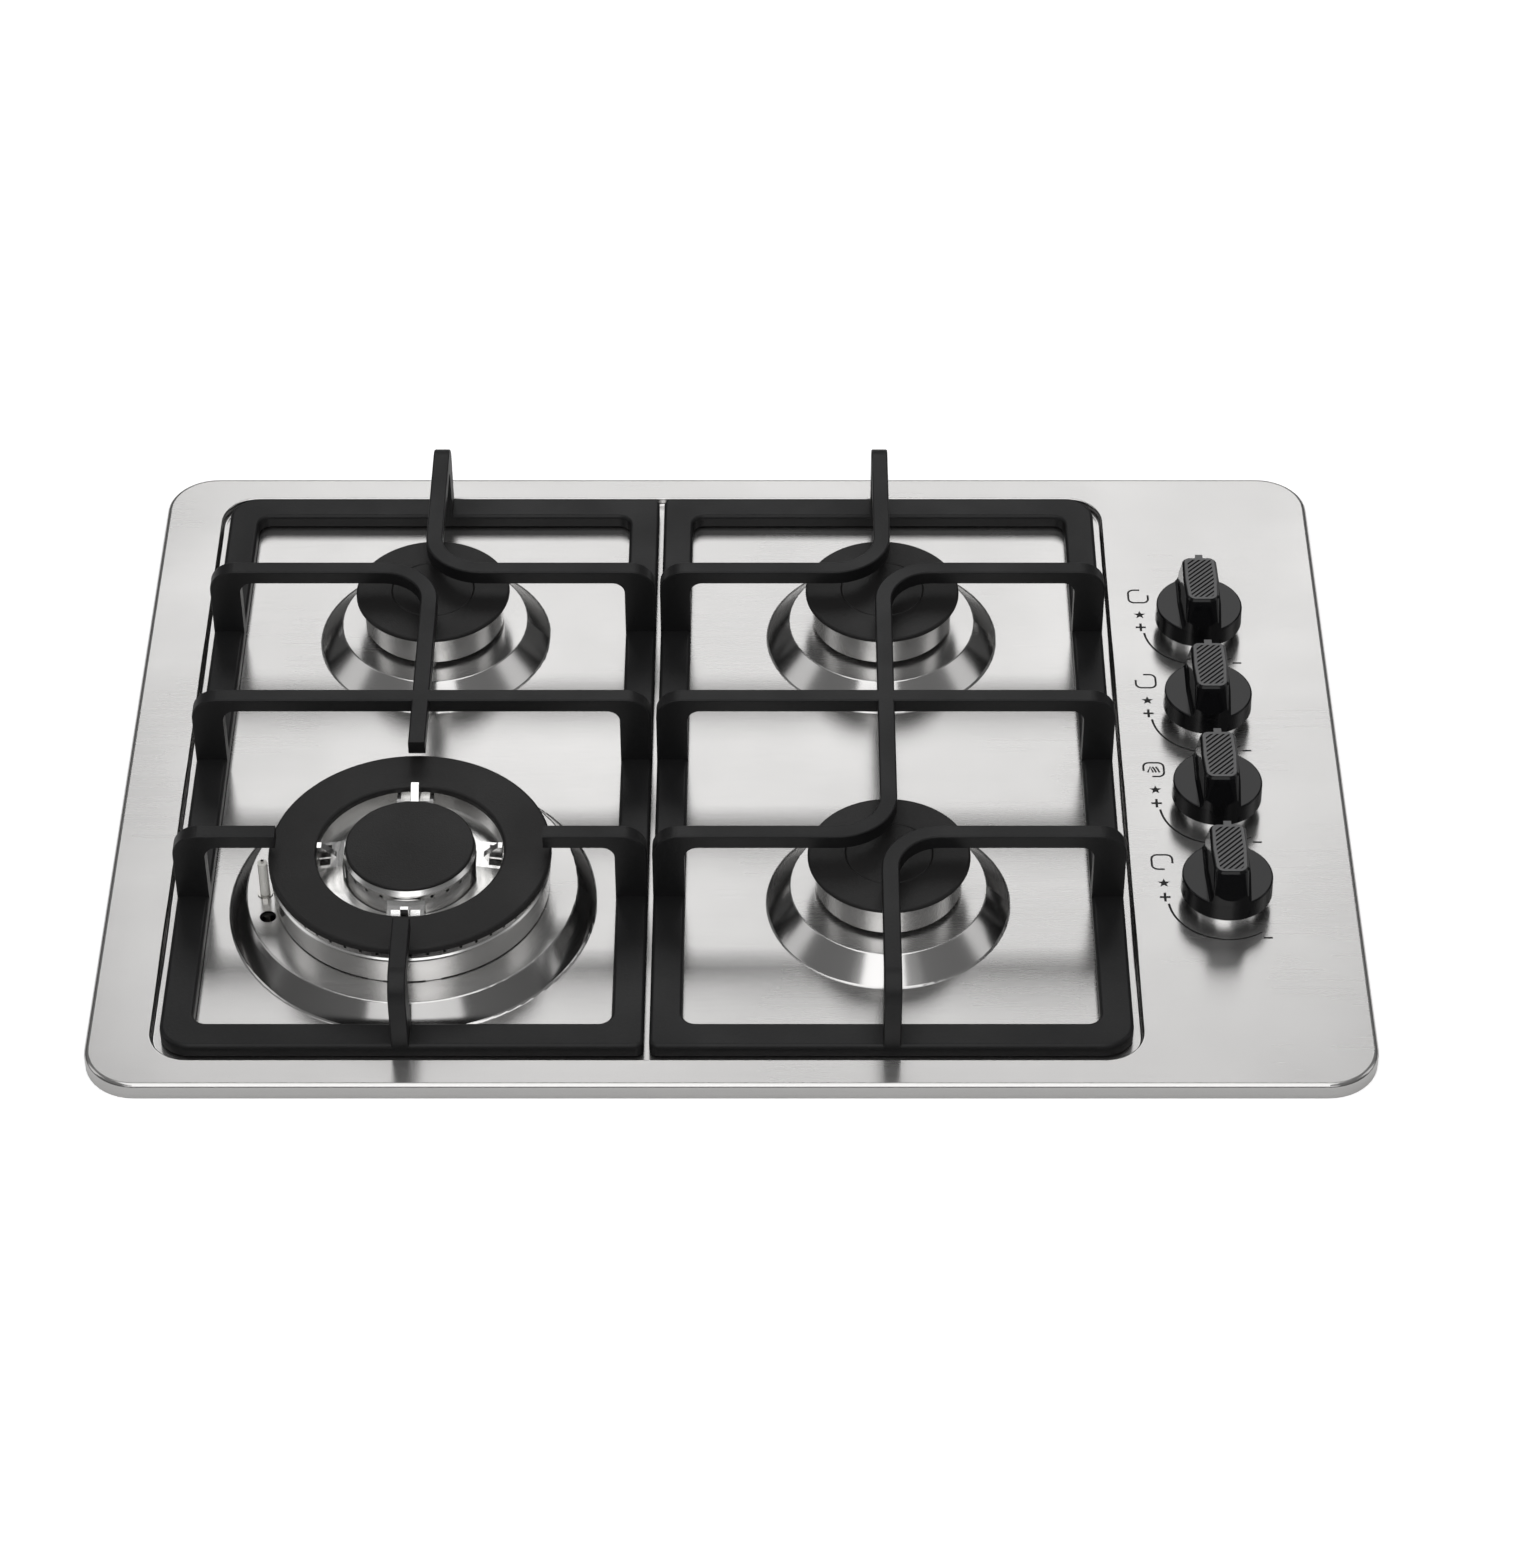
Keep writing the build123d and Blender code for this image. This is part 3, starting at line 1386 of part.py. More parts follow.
def knob_piece():
    """Control knob: a hollow disc, a tapered grip across it and a hub for the spindle."""
    with BuildPart() as piece:
        with BuildSketch(Plane.XY.offset(knob_z)):
            Circle(knob_r)
        extrude(amount=knob_disc_height, taper=knob_draft)
        fillet(piece.faces().sort_by(Axis.Z)[-1].edges(), knob_lip_round)
        add(blade_piece())
        # hollow with a hub
        with BuildSketch(Plane.XY.offset(knob_z)):
            Circle(knob_cavity_r)
            Circle(hub_r, mode=Mode.SUBTRACT)
        extrude(amount=knob_disc_height - knob_skin, mode=Mode.SUBTRACT)
        with BuildSketch(Plane.XY.offset(knob_z)):
            add(flat_round(spindle_r, running))
        extrude(amount=knob_disc_height + spindle_grip, mode=Mode.SUBTRACT)
        # seat of the inlay
        with BuildSketch(Plane.XY.offset(pad_floor_z)):
            add(pad_outline(running))
            add(pointer_outline(running))
        extrude(amount=2 * pad_inset, mode=Mode.SUBTRACT)
    return piece


def pad_piece():
    """Grey inlay of the grip with a raised border, slanting grooves and the pointer."""
    with BuildPart() as piece:
        with BuildSketch(Plane.XY.offset(pad_floor_z)):
            add(pad_outline(0.0))
            add(pointer_outline(0.0))
        extrude(amount=pad_inset + pad_proud)
        with BuildSketch(Plane.XY.offset(pad_floor_z + pad_inset + pad_proud)):
            with GridLocations(1, pad_groove_pitch, 1, pad_groove_count):
                Rectangle(4 * pad_rear_width, pad_groove_width, rotation=pad_groove_angle)
            add(pad_outline(-pad_border), mode=Mode.INTERSECT)
        extrude(amount=-pad_groove_depth, mode=Mode.SUBTRACT)
    return piece


def spindle_piece():
    """Steel spindle with a flat, and a collar that the return spring lifts against the cover."""
    with BuildPart() as piece:
        with BuildSketch(Plane.XY.offset(spindle_z)):
            add(flat_round(spindle_r, 0.0))
        extrude(amount=spindle_top_z - spindle_z)
        with BuildSketch(Plane.XY.offset(cover_top_z - cover_thickness - collar_clearance)):
            Circle(spindle_collar_r)
        extrude(amount=-spindle_collar_height)
        with BuildSketch(Plane.XY.offset(tap_top_z - collar_clearance)):
            Circle(spindle_r)
        extrude(amount=knob_z - tap_top_z - loose)
    return piece


def plug_piece():
    """Tapered brass plug with a cross way for the gas and a socket for the spindle's flat end."""
    with BuildPart() as piece:
        with Locations((0, 0, plug_z)):
            Cone(plug_bottom_r, plug_top_r, plug_length, align=upright)
        with BuildSketch(Plane.XZ):
            with Locations((0, gas_z)):
                Circle(gas_way_r)
        extrude(amount=plug_top_r, both=True, mode=Mode.SUBTRACT)
        with BuildSketch(Plane.XY.offset(socket_z)):
            add(flat_round(spindle_r, running))
        extrude(amount=plug_top_z - socket_z, mode=Mode.SUBTRACT)
    return piece


def spring_piece():
    """Return spring as a plain sleeve between the plug and the spindle's collar."""
    with BuildPart() as piece:
        with BuildSketch(Plane.XY.offset(plug_top_z)):
            Circle(spring_r)
            Circle(spring_r - spring_wall, mode=Mode.SUBTRACT)
        extrude(amount=tap_top_z - collar_clearance - spindle_collar_height - plug_top_z)
    return piece


knob_form = knob_piece()
pad_form = pad_piece()
spindle_form = spindle_piece()
plug_form = plug_piece()
spring_form = spring_piece()
for key, y in knob_rows.items():
    with BuildPart() as knob:
        with Locations((knob_x, y, 0)):
            add(knob_form)
    save(knob, f"knob_{key}")
    with BuildPart() as knob_inlay:
        with Locations((knob_x, y, 0)):
            add(pad_form)
    save(knob_inlay, f"knob_inlay_{key}")
    with BuildPart() as spindle:
        with Locations((knob_x, y, 0)):
            add(spindle_form)
    save(spindle, f"spindle_{key}")
    with BuildPart() as tap_plug:
        with Locations((knob_x, y, 0)):
            add(plug_form)
    save(tap_plug, f"tap_plug_{key}")
    with BuildPart() as tap_spring:
        with Locations((knob_x, y, 0)):
            add(spring_form)
    save(tap_spring, f"tap_spring_{key}")

with BuildPart() as knob_collars:
    with BuildSketch(Plane.XY.offset(top_z)):
        with Locations([(knob_x, y) for y in knob_rows.values()]):
            Circle(collar_r)
            Circle(collar_r - collar_wall, mode=Mode.SUBTRACT)
    extrude(amount=collar_height)
    with BuildSketch(Plane.XY.offset(top_z + collar_height)):
        with Locations([(knob_x, y) for y in knob_rows.values()]):
            Circle(collar_r)
            Circle(hub_r + 2.0, mode=Mode.SUBTRACT)
    extrude(amount=-collar_wall)
save(knob_collars, "knob_collars")


# ---------------------------------------------------------------- grates
leg_reach = leg_outer_r + bar_width


def leg():
    """Leg that stands at the origin on the frame's outer face and bends over along X as a finger."""
    with BuildPart() as piece:
        with BuildSketch(Plane.XZ) as profile:
            with BuildLine():
                Polyline(
                    (0, bar_z),
                    (0, finger_top_z),
                    (leg_reach, finger_top_z),
                    (leg_reach, finger_z),
                    (bar_width, finger_z),
                    (bar_width, bar_z),
                    close=True,
                )
            make_face()
            outer_corner = Vector(0, finger_top_z)
            fillet(profile.vertices().sort_by_distance(outer_corner)[0], leg_outer_r)
            inner_corner = Vector(bar_width, finger_z)
            fillet(profile.vertices().sort_by_distance(inner_corner)[0], leg_inner_r)
        extrude(amount=finger_width / 2, both=True)
        sides = piece.edges().filter_by(lambda e: abs((e @ 0.5).Y) > finger_width / 2 - 0.01)
        back = sides.filter_by(lambda e: (e @ 0.5).X < leg_outer_r / 2)
        top = sides.filter_by(lambda e: (e @ 0.5).Z > finger_top_z - 0.01)
        fillet(back + top, finger_edge_round)
    return piece


def finger_runs(routes):
    """Level bars seen from above, each along straight runs with rounded corners."""
    with BuildPart() as bars:
        for points in routes:
            with BuildPart(mode=Mode.PRIVATE) as bar:
                with BuildSketch(Plane.XY.offset(finger_z)):
                    with BuildLine():
                        if len(points) > 2:
                            FilletPolyline(*points, radius=finger_bend_r)
                        else:
                            Line(*points)
                    trace(line_width=finger_width)
                extrude(amount=finger_height)
                sides = bar.faces().sort_by(Axis.Z)[-1].edges()
                sides = sides.filter_by(lambda e: abs(e.length - finger_width) > 0.01)
                fillet(sides, finger_edge_round)
            add(bar)
    return bars


def grate(centre_x, outer_side, routes, legs):
    """Cast grate: a rounded frame and its fingers; outer_side is the side with the large corners."""
    with BuildPart() as casting:
        with BuildSketch(Plane.XY.offset(bar_z)) as frame_outline:
            with Locations((centre_x, 0)):
                Rectangle(grate_width, 2 * grate_half_depth)
            large = frame_outline.vertices().group_by(Axis.X)[0 if outer_side < 0 else -1]
            fillet(large, grate_outer_r)
            small = frame_outline.vertices().filter_by_position(
                Axis.X,
                centre_x - outer_side * grate_width / 2 - 0.1,
                centre_x - outer_side * grate_width / 2 + 0.1,
            )
            fillet(small, grate_inner_r)
            with Locations((centre_x, 0)):
                RectangleRounded(
                    grate_width - 2 * bar_width,
                    2 * (grate_half_depth - bar_width),
                    window_r,
                    mode=Mode.SUBTRACT,
                )
        extrude(amount=bar_thickness)
        rim = casting.faces().sort_by(Axis.Z)[-1].edges()
        fillet(rim, bar_round)
        with Locations([Location((x, y, 0), (0, 0, turn)) for x, y, turn in legs]):
            add(upright_leg)
        add(finger_runs(routes))
        with Locations([(x, y, bar_z) for x, y in grate_foot_places(centre_x)]):
            Cylinder(foot_peg_r + running, 2 * foot_peg_length, mode=Mode.SUBTRACT)
    return casting


def grate_foot_places(centre_x):
    """Plan positions of a grate's four rubber feet."""
    reach_x = grate_width / 2 - foot_inset
    reach_y = grate_half_depth - foot_inset
    return [(centre_x + i * reach_x, j * reach_y) for i in (-1, 1) for j in (-1, 1)]


def grate_feet(centre_x):
    """Rubber feet with pegs that press into the grate's frame."""
    with BuildPart() as feet:
        with Locations([(x, y, well_z) for x, y in grate_foot_places(centre_x)]):
            Cylinder(foot_r, bar_z - well_z, align=upright)
        with Locations([(x, y, bar_z) for x, y in grate_foot_places(centre_x)]):
            Cylinder(foot_peg_r, foot_peg_length, align=upright)
    return feet


left_x = left_column_x
right_x = right_column_x
row = burner_row
edge_in = grate_width / 2 - leg_reach
edge_y = grate_half_depth - leg_reach
left_low, left_high = left_x - grate_width / 2, left_x + grate_width / 2
right_low, right_high = right_x - grate_width / 2, right_x + grate_width / 2

left_routes = [
    [(left_x, edge_y), (left_x, row), (left_x + edge_in, row)],
    [(left_x - edge_in, row), (left_x, row), (left_x, -row + front_gap)],
    [(left_x - edge_in, 0), (left_x + edge_in, 0)],
    [(left_x - edge_in, -row), (left_x - side_finger_gap, -row)],
    [(left_x + side_finger_gap, -row), (left_x + edge_in, -row)],
    [(left_x, -edge_y), (left_x, -row - front_finger_gap)],
]
left_legs = [(left_x, grate_half_depth, -90), (left_x, -grate_half_depth, 90)]
left_legs += [(left_low, y, 0) for y in (row, 0, -row)]
left_legs += [(left_high, y, 180) for y in (row, 0, -row)]

right_routes = [
    [(right_x, edge_y), (right_x, row), (right_x - edge_in, row)],
    [(right_x + edge_in, row), (right_x, row), (right_x, -row), (right_x - edge_in, -row)],
    [(right_x - edge_in, 0), (right_x + edge_in, 0)],
    [(right_x + edge_in, -row), (right_x, -row), (right_x, -edge_y)],
]
right_legs = [(right_x, grate_half_depth, -90), (right_x, -grate_half_depth, 90)]
right_legs += [(right_low, y, 0) for y in (row, 0, -row)]
right_legs += [(right_high, y, 180) for y in (row, 0, -row)]

upright_leg = leg()
grate_left = grate(left_x, -1, left_routes, left_legs)
save(grate_left, "grate_left")
grate_right = grate(right_x, 1, right_routes, right_legs)
save(grate_right, "grate_right")
save(grate_feet(left_x), "grate_feet_left")
save(grate_feet(right_x), "grate_feet_right")
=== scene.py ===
# %% [markdown]
# # A built-in gas cooktop
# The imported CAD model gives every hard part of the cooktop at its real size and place.
# This lesson dresses it: each finish is made from nodes, the printed marks are laid on the plate,
# and a studio with one camera shows the whole cooktop from the front and above.
# Lengths are in metres, X runs to the right, Y to the rear and Z up.

# %% Load the frame
import math

import bpy
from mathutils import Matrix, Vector


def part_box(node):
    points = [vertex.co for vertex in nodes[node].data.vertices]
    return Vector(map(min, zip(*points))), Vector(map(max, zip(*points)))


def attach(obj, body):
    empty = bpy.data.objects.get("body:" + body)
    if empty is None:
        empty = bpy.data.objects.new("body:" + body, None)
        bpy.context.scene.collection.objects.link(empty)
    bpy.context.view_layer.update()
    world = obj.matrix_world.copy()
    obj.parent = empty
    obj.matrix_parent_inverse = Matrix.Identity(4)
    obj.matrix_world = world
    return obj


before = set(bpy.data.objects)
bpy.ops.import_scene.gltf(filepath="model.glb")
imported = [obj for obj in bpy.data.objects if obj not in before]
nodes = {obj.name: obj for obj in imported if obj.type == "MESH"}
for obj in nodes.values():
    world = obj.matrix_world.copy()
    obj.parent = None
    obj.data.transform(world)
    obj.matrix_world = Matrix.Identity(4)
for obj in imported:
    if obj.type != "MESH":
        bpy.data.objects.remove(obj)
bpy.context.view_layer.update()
scene = bpy.context.scene

# %% [markdown]
# ## Places read from the frame
# Everything that is added later has to sit on what carries it. The plate's flat top, the burner
# centres and the knob axes are read from the boxes of the CAD nodes, so nothing is typed twice.

# %% Places of the main parts
plate_top_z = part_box("knob_collars")[0].z
worktop_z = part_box("worktop_seal")[0].z


def centre_of(node):
    """Middle of a node's box seen from above."""
    low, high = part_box(node)
    return Vector(((low.x + high.x) / 2, (low.y + high.y) / 2, low.z))


burner_names = ("rl", "rr", "fr")
burner_centres = {name: centre_of(f"flame_spreader_{name}") for name in burner_names}
burner_centres["fl"] = centre_of("triple_centre_cap")
knob_names = ("rr", "rl", "fl", "fr")
knob_centres = {name: centre_of(f"tap_plug_{name}") for name in knob_names}
print("plate top", round(plate_top_z, 4), "worktop", round(worktop_z, 4), "knobs", len(knob_centres))

# %% [markdown]
# ## Building materials with code
# A material is a small network of nodes. Two helpers keep the network short to write: one makes a
# node and sets its plain inputs, the other makes a material that already has its shader and output.

# %% Nodes, links and materials


def add_node(tree, kind, **inputs):
    """Make a node; inputs named like a property set it, the rest are sockets by index or name."""
    node = tree.nodes.new(kind)
    for key, value in inputs.items():
        if hasattr(node, key):
            setattr(node, key, value)
        else:
            node.inputs[key.replace("_", " ")].default_value = value
    return node


def link(tree, source, target):
    """Join an output socket to an input socket."""
    tree.links.new(source, target)


def new_material(name, color, metallic, roughness):
    """A material with a Principled shader whose constants stand on its own sockets."""
    material = bpy.data.materials.new(name)
    material.use_nodes = True
    shader = material.node_tree.nodes["Principled BSDF"]
    shader.inputs["Base Color"].default_value = (*color, 1)
    shader.inputs["Metallic"].default_value = metallic
    shader.inputs["Roughness"].default_value = roughness
    material.diffuse_color = (*color, 1)
    return material, material.node_tree, shader


def object_mapping(tree, scale=(1, 1, 1), location=(0, 0, 0)):
    """Object coordinates through a Mapping node that stretches or centres a pattern."""
    coordinates = add_node(tree, "ShaderNodeTexCoord")
    mapping = add_node(tree, "ShaderNodeMapping")
    mapping.inputs["Scale"].default_value = scale
    mapping.inputs["Location"].default_value = location
    link(tree, coordinates.outputs["Object"], mapping.inputs["Vector"])
    return mapping.outputs["Vector"]


print("helpers ready for nodes and materials")

# %% [markdown]
# A pattern is mostly arithmetic: masks are added, multiplied and compared, and a mask then blends
# two values or two colours. Each of these helpers takes plain numbers or the output of another node.

# %% Arithmetic and blending


def math_node(tree, operation, first, second=None, clamp=False):
    """One step of arithmetic; each operand is a socket or a number."""
    node = tree.nodes.new("ShaderNodeMath")
    node.operation = operation
    node.use_clamp = clamp
    for index, value in enumerate((first, second)):
        if value is None:
            continue
        if isinstance(value, (int, float)):
            node.inputs[index].default_value = value
        else:
            link(tree, value, node.inputs[index])
    return node.outputs[0]


def mix_values(tree, factor, first, second):
    """Blend two values by a factor; each is a socket or a number."""
    node = tree.nodes.new("ShaderNodeMix")
    for index, value in ((0, factor), (2, first), (3, second)):
        if isinstance(value, (int, float)):
            node.inputs[index].default_value = value
        else:
            link(tree, value, node.inputs[index])
    return node.outputs[0]


def mix_colors(tree, factor, first, second):
    """Blend two colours by a factor; a colour is a socket or three numbers."""
    node = tree.nodes.new("ShaderNodeMix")
    node.data_type = "RGBA"
    if isinstance(factor, (int, float)):
        node.inputs[0].default_value = factor
    else:
        link(tree, factor, node.inputs[0])
    for index, value in ((6, first), (7, second)):
        if isinstance(value, tuple):
            node.inputs[index].default_value = (*value, 1)
        else:
            link(tree, value, node.inputs[index])
    return node.outputs[2]


print("helpers ready for arithmetic and blending")

# %% [markdown]
# Relief finer than the mesh is given as a height that only tilts the light. An effect that several
# finishes use is kept as a group: a small network with named inputs, used like one node.

# %% Relief and groups


def bump(tree, shader, height, strength, distance):
    """Feed a height into the shader's normal."""
    node = tree.nodes.new("ShaderNodeBump")
    node.inputs["Strength"].default_value = strength
    node.inputs["Distance"].default_value = distance
    link(tree, height, node.inputs["Height"])
    link(tree, node.outputs["Normal"], shader.inputs["Normal"])
    return node


def new_group(name, inputs, outputs):
    """An empty shader group with named float or vector inputs and float outputs."""
    group = bpy.data.node_groups.new(name, "ShaderNodeTree")
    for title, value in inputs.items():
        kind = "NodeSocketVector" if value is None else "NodeSocketFloat"
        socket = group.interface.new_socket(name=title, in_out="INPUT", socket_type=kind)
        if value is not None:
            socket.default_value = value
    for title in outputs:
        group.interface.new_socket(name=title, in_out="OUTPUT", socket_type="NodeSocketFloat")
    entry = group.nodes.new("NodeGroupInput")
    leave = group.nodes.new("NodeGroupOutput")
    return group, entry, leave


def use_group(tree, group, vector, **values):
    """Place a group in a material and give it its vector and its numbers."""
    node = tree.nodes.new("ShaderNodeGroup")
    node.node_tree = group
    link(tree, vector, node.inputs["Vector"])
    for title, value in values.items():
        node.inputs[title].default_value = value
    return node


print("helpers ready for relief and groups")

# %% [markdown]
# ## Effects that several finishes share
# Brushed sheet, turned castings, cast enamel and moulded plastic differ only in a few numbers, so
# each effect is one group with named inputs. Brushing comes first. An abrasive belt leaves long thin
# scratches along the rolling direction. A noise that is stretched along X looks like them, and unlike
# a picture of steel it has no seams and no repeats.

# %% Brushed lines


def brushed_group():
    """Fine lines along X from two stretched noises."""
    group, entry, leave = new_group(
        "brushed_lines", {"Vector": None, "Fineness": 1.0}, ("Lines", "Broad")
    )
    scaled = group.nodes.new("ShaderNodeVectorMath")
    scaled.operation = "SCALE"
    link(group, entry.outputs["Vector"], scaled.inputs[0])
    link(group, entry.outputs["Fineness"], scaled.inputs["Scale"])
    for title, stretch, detail in (("Lines", (60, 2600, 2600), 2), ("Broad", (12, 450, 450), 2)):
        mapping = group.nodes.new("ShaderNodeMapping")
        mapping.inputs["Scale"].default_value = stretch
        link(group, scaled.outputs[0], mapping.inputs["Vector"])
        noise = group.nodes.new("ShaderNodeTexNoise")
        noise.inputs["Scale"].default_value = 1.0
        noise.inputs["Detail"].default_value = detail
        noise.inputs["Roughness"].default_value = 0.6
        link(group, mapping.outputs[0], noise.inputs["Vector"])
        link(group, noise.outputs["Fac"], leave.inputs[title])
    return group


brushed_lines = brushed_group()
print("group", brushed_lines.name, [item.name for item in brushed_lines.interface.items_tree])

# %% [markdown]
# A lathe leaves rings round the axis it turned on. The distance from the axis gives the ring, a sine
# gives its groove, and a noise of one dimension makes some grooves deeper than others.

# %% Turned rings


def turned_group():
    """Rings round the Z axis of the given vector, as a lathe leaves them."""
    group, entry, leave = new_group(
        "turned_rings", {"Vector": None, "Pitch": 0.0006, "Wobble": 0.4}, ("Rings",)
    )
    flat = group.nodes.new("ShaderNodeVectorMath")
    flat.operation = "MULTIPLY"
    flat.inputs[1].default_value = (1, 1, 0)
    link(group, entry.outputs["Vector"], flat.inputs[0])
    length = group.nodes.new("ShaderNodeVectorMath")
    length.operation = "LENGTH"
    link(group, flat.outputs[0], length.inputs[0])
    turns = math_node(group, "DIVIDE", length.outputs["Value"], entry.outputs["Pitch"])
    noise = group.nodes.new("ShaderNodeTexNoise")
    noise.noise_dimensions = "1D"
    noise.inputs["Scale"].default_value = 1.0
    noise.inputs["Detail"].default_value = 2.0
    link(group, turns, noise.inputs["W"])
    wave = math_node(group, "SINE", turns)
    link(group, mix_values(group, entry.outputs["Wobble"], wave, noise.outputs["Fac"]), leave.inputs[0])
    return group


turned_rings = turned_group()
print("group", turned_rings.name, [item.name for item in turned_rings.interface.items_tree])

# %% [markdown]
# Sand moulds, enamel and moulded plastic have a fine tooth with a few larger pits. A noise makes the
# tooth and Voronoi cells make the pits; only the scale differs between the finishes.

# %% Fine grain


def grain_group():
    """Fine tooth with a few larger pits."""
    group, entry, leave = new_group(
        "fine_grain", {"Vector": None, "Scale": 1500.0, "Pits": 0.3}, ("Height", "Speckle")
    )
    noise = group.nodes.new("ShaderNodeTexNoise")
    noise.inputs["Detail"].default_value = 4.0
    noise.inputs["Roughness"].default_value = 0.65
    link(group, entry.outputs["Vector"], noise.inputs["Vector"])
    link(group, entry.outputs["Scale"], noise.inputs["Scale"])
    cells = group.nodes.new("ShaderNodeTexVoronoi")
    link(group, entry.outputs["Vector"], cells.inputs["Vector"])
    link(group, math_node(group, "MULTIPLY", entry.outputs["Scale"], 0.5), cells.inputs["Scale"])
    height = mix_values(group, entry.outputs["Pits"], noise.outputs["Fac"], cells.outputs["Distance"])
    link(group, height, leave.inputs["Height"])
    speckle = group.nodes.new("ShaderNodeMapRange")
    speckle.inputs["From Min"].default_value = 0.62
    speckle.inputs["From Max"].default_value = 0.72
    link(group, noise.outputs["Fac"], speckle.inputs["Value"])
    link(group, speckle.outputs[0], leave.inputs["Speckle"])
    return group


fine_grain = grain_group()
print("group", fine_grain.name, [item.name for item in fine_grain.interface.items_tree])

# %% [markdown]
# Nothing that is handled and wiped keeps one gloss all over. This group lets the roughness drift
# between two values over a few centimetres.

# %% Handling smudges


def smudge_group():
    """Slow change of gloss between two values, over a few centimetres."""
    group, entry, leave = new_group(
        "handling_smudges", {"Vector": None, "Scale": 14.0, "Low": 0.2, "High": 0.3}, ("Roughness",)
    )
    noise = group.nodes.new("ShaderNodeTexNoise")
    noise.inputs["Detail"].default_value = 3.0
    link(group, entry.outputs["Vector"], noise.inputs["Vector"])
    link(group, entry.outputs["Scale"], noise.inputs["Scale"])
    spread = group.nodes.new("ShaderNodeMapRange")
    spread.inputs["From Min"].default_value = 0.35
    spread.inputs["From Max"].default_value = 0.65
    link(group, noise.outputs["Fac"], spread.inputs["Value"])
    link(group, entry.outputs["Low"], spread.inputs["To Min"])
    link(group, entry.outputs["High"], spread.inputs["To Max"])
    link(group, spread.outputs[0], leave.inputs[0])
    return group


handling_smudges = smudge_group()
print("group", handling_smudges.name, [item.name for item in handling_smudges.interface.items_tree])

# %% [markdown]
# CAD nodes keep their mesh; only their material slot is filled. This helper does it by name.

# %% Painting a node


def paint(material, *names):
    """Give CAD nodes a material, through their own material slots."""
    for name in names:
        mesh = nodes[name].data
        mesh.materials.clear()
        mesh.materials.append(material)
    print(material.name, "on", len(names), "nodes")


# %% [markdown]
# ## The stainless top plate
# The plate is one sheet. Its flats are brushed along the width, while the four cones and the walls
# of the well were polished after pressing. One material can hold both finishes when masks tell them
# apart. A normal that leans away from upright marks the pressed walls and the rim, which are the
# polished places. A point nearer to a burner's axis than the cone's foot has spun rings, not lines.
# The brushing also stretches the light across its lines: that is the Anisotropic input, turned by
# a tangent that points to the rear.

# %% Where the plate is polished
small_cone_r = 0.0570
triple_cone_r = 0.0856
cone_radii = {"rl": small_cone_r, "rr": small_cone_r, "fr": small_cone_r, "fl": triple_cone_r}
level_normal = 0.985
wall_normal = 0.85


def cone_mask(tree, position):
    """1 inside any cone's foot, and the distance from the nearest burner's axis."""
    total, nearest = None, None
    for name, centre in burner_centres.items():
        away = tree.nodes.new("ShaderNodeVectorMath")
        away.operation = "DISTANCE"
        flat = tree.nodes.new("ShaderNodeVectorMath")
        flat.operation = "MULTIPLY"
        flat.inputs[1].default_value = (1, 1, 0)
        link(tree, position, flat.inputs[0])
        link(tree, flat.outputs[0], away.inputs[0])
        away.inputs[1].default_value = (centre.x, centre.y, 0)
        reach = away.outputs["Value"]
        inside = math_node(tree, "LESS_THAN", reach, cone_radii[name])
        total = inside if total is None else math_node(tree, "MAXIMUM", total, inside)
        nearest = reach if nearest is None else math_node(tree, "MINIMUM", nearest, reach)
    return total, nearest


def slope_mask(tree, low, high):
    """1 on walls and rounded edges, 0 on level faces."""
    geometry = add_node(tree, "ShaderNodeNewGeometry")
    parts = add_node(tree, "ShaderNodeSeparateXYZ")
    link(tree, geometry.outputs["True Normal"], parts.inputs[0])
    upright = math_node(tree, "ABSOLUTE", parts.outputs["Z"])
    spread = add_node(tree, "ShaderNodeMapRange")
    spread.inputs["From Min"].default_value = high
    spread.inputs["From Max"].default_value = low
    link(tree, upright, spread.inputs["Value"])
    return spread.outputs[0]


print("cones", {name: round(radius, 4) for name, radius in cone_radii.items()})

# %% [markdown]
# The plate's two finishes meet in one material. Brushing is a slight relief and a slight change of
# tone; polishing is a lower roughness. Both could be two materials on two sets of faces, but the
# masks keep the plate's mesh as it is, and they follow the shape when the plate changes.

# %% Plate material
brushed_dark = (0.56, 0.553, 0.547)
brushed_light = (0.69, 0.682, 0.675)
polished_color = (0.64, 0.632, 0.625)
polished_roughness = 0.17
spun_fineness = 2400.0
scratch_height = 0.0004


def spun_noise(tree, reach):
    """Rings round the nearest burner, from the distance to its axis."""
    spun = tree.nodes.new("ShaderNodeTexNoise")
    spun.noise_dimensions = "1D"
    spun.inputs["Scale"].default_value = spun_fineness
    spun.inputs["Detail"].default_value = 2.0
    link(tree, reach, spun.inputs["W"])
    return spun.outputs["Fac"]


def stretch_light(tree, shader):
    """Spread the highlights across the brushing, towards the rear and slightly up."""
    across = tree.nodes.new("ShaderNodeCombineXYZ")
    for axis, value in (("X", 0.05), ("Y", 1.0), ("Z", 0.35)):
        across.inputs[axis].default_value = value
    link(tree, across.outputs[0], shader.inputs["Tangent"])
    shader.inputs["Anisotropic"].default_value = 0.65


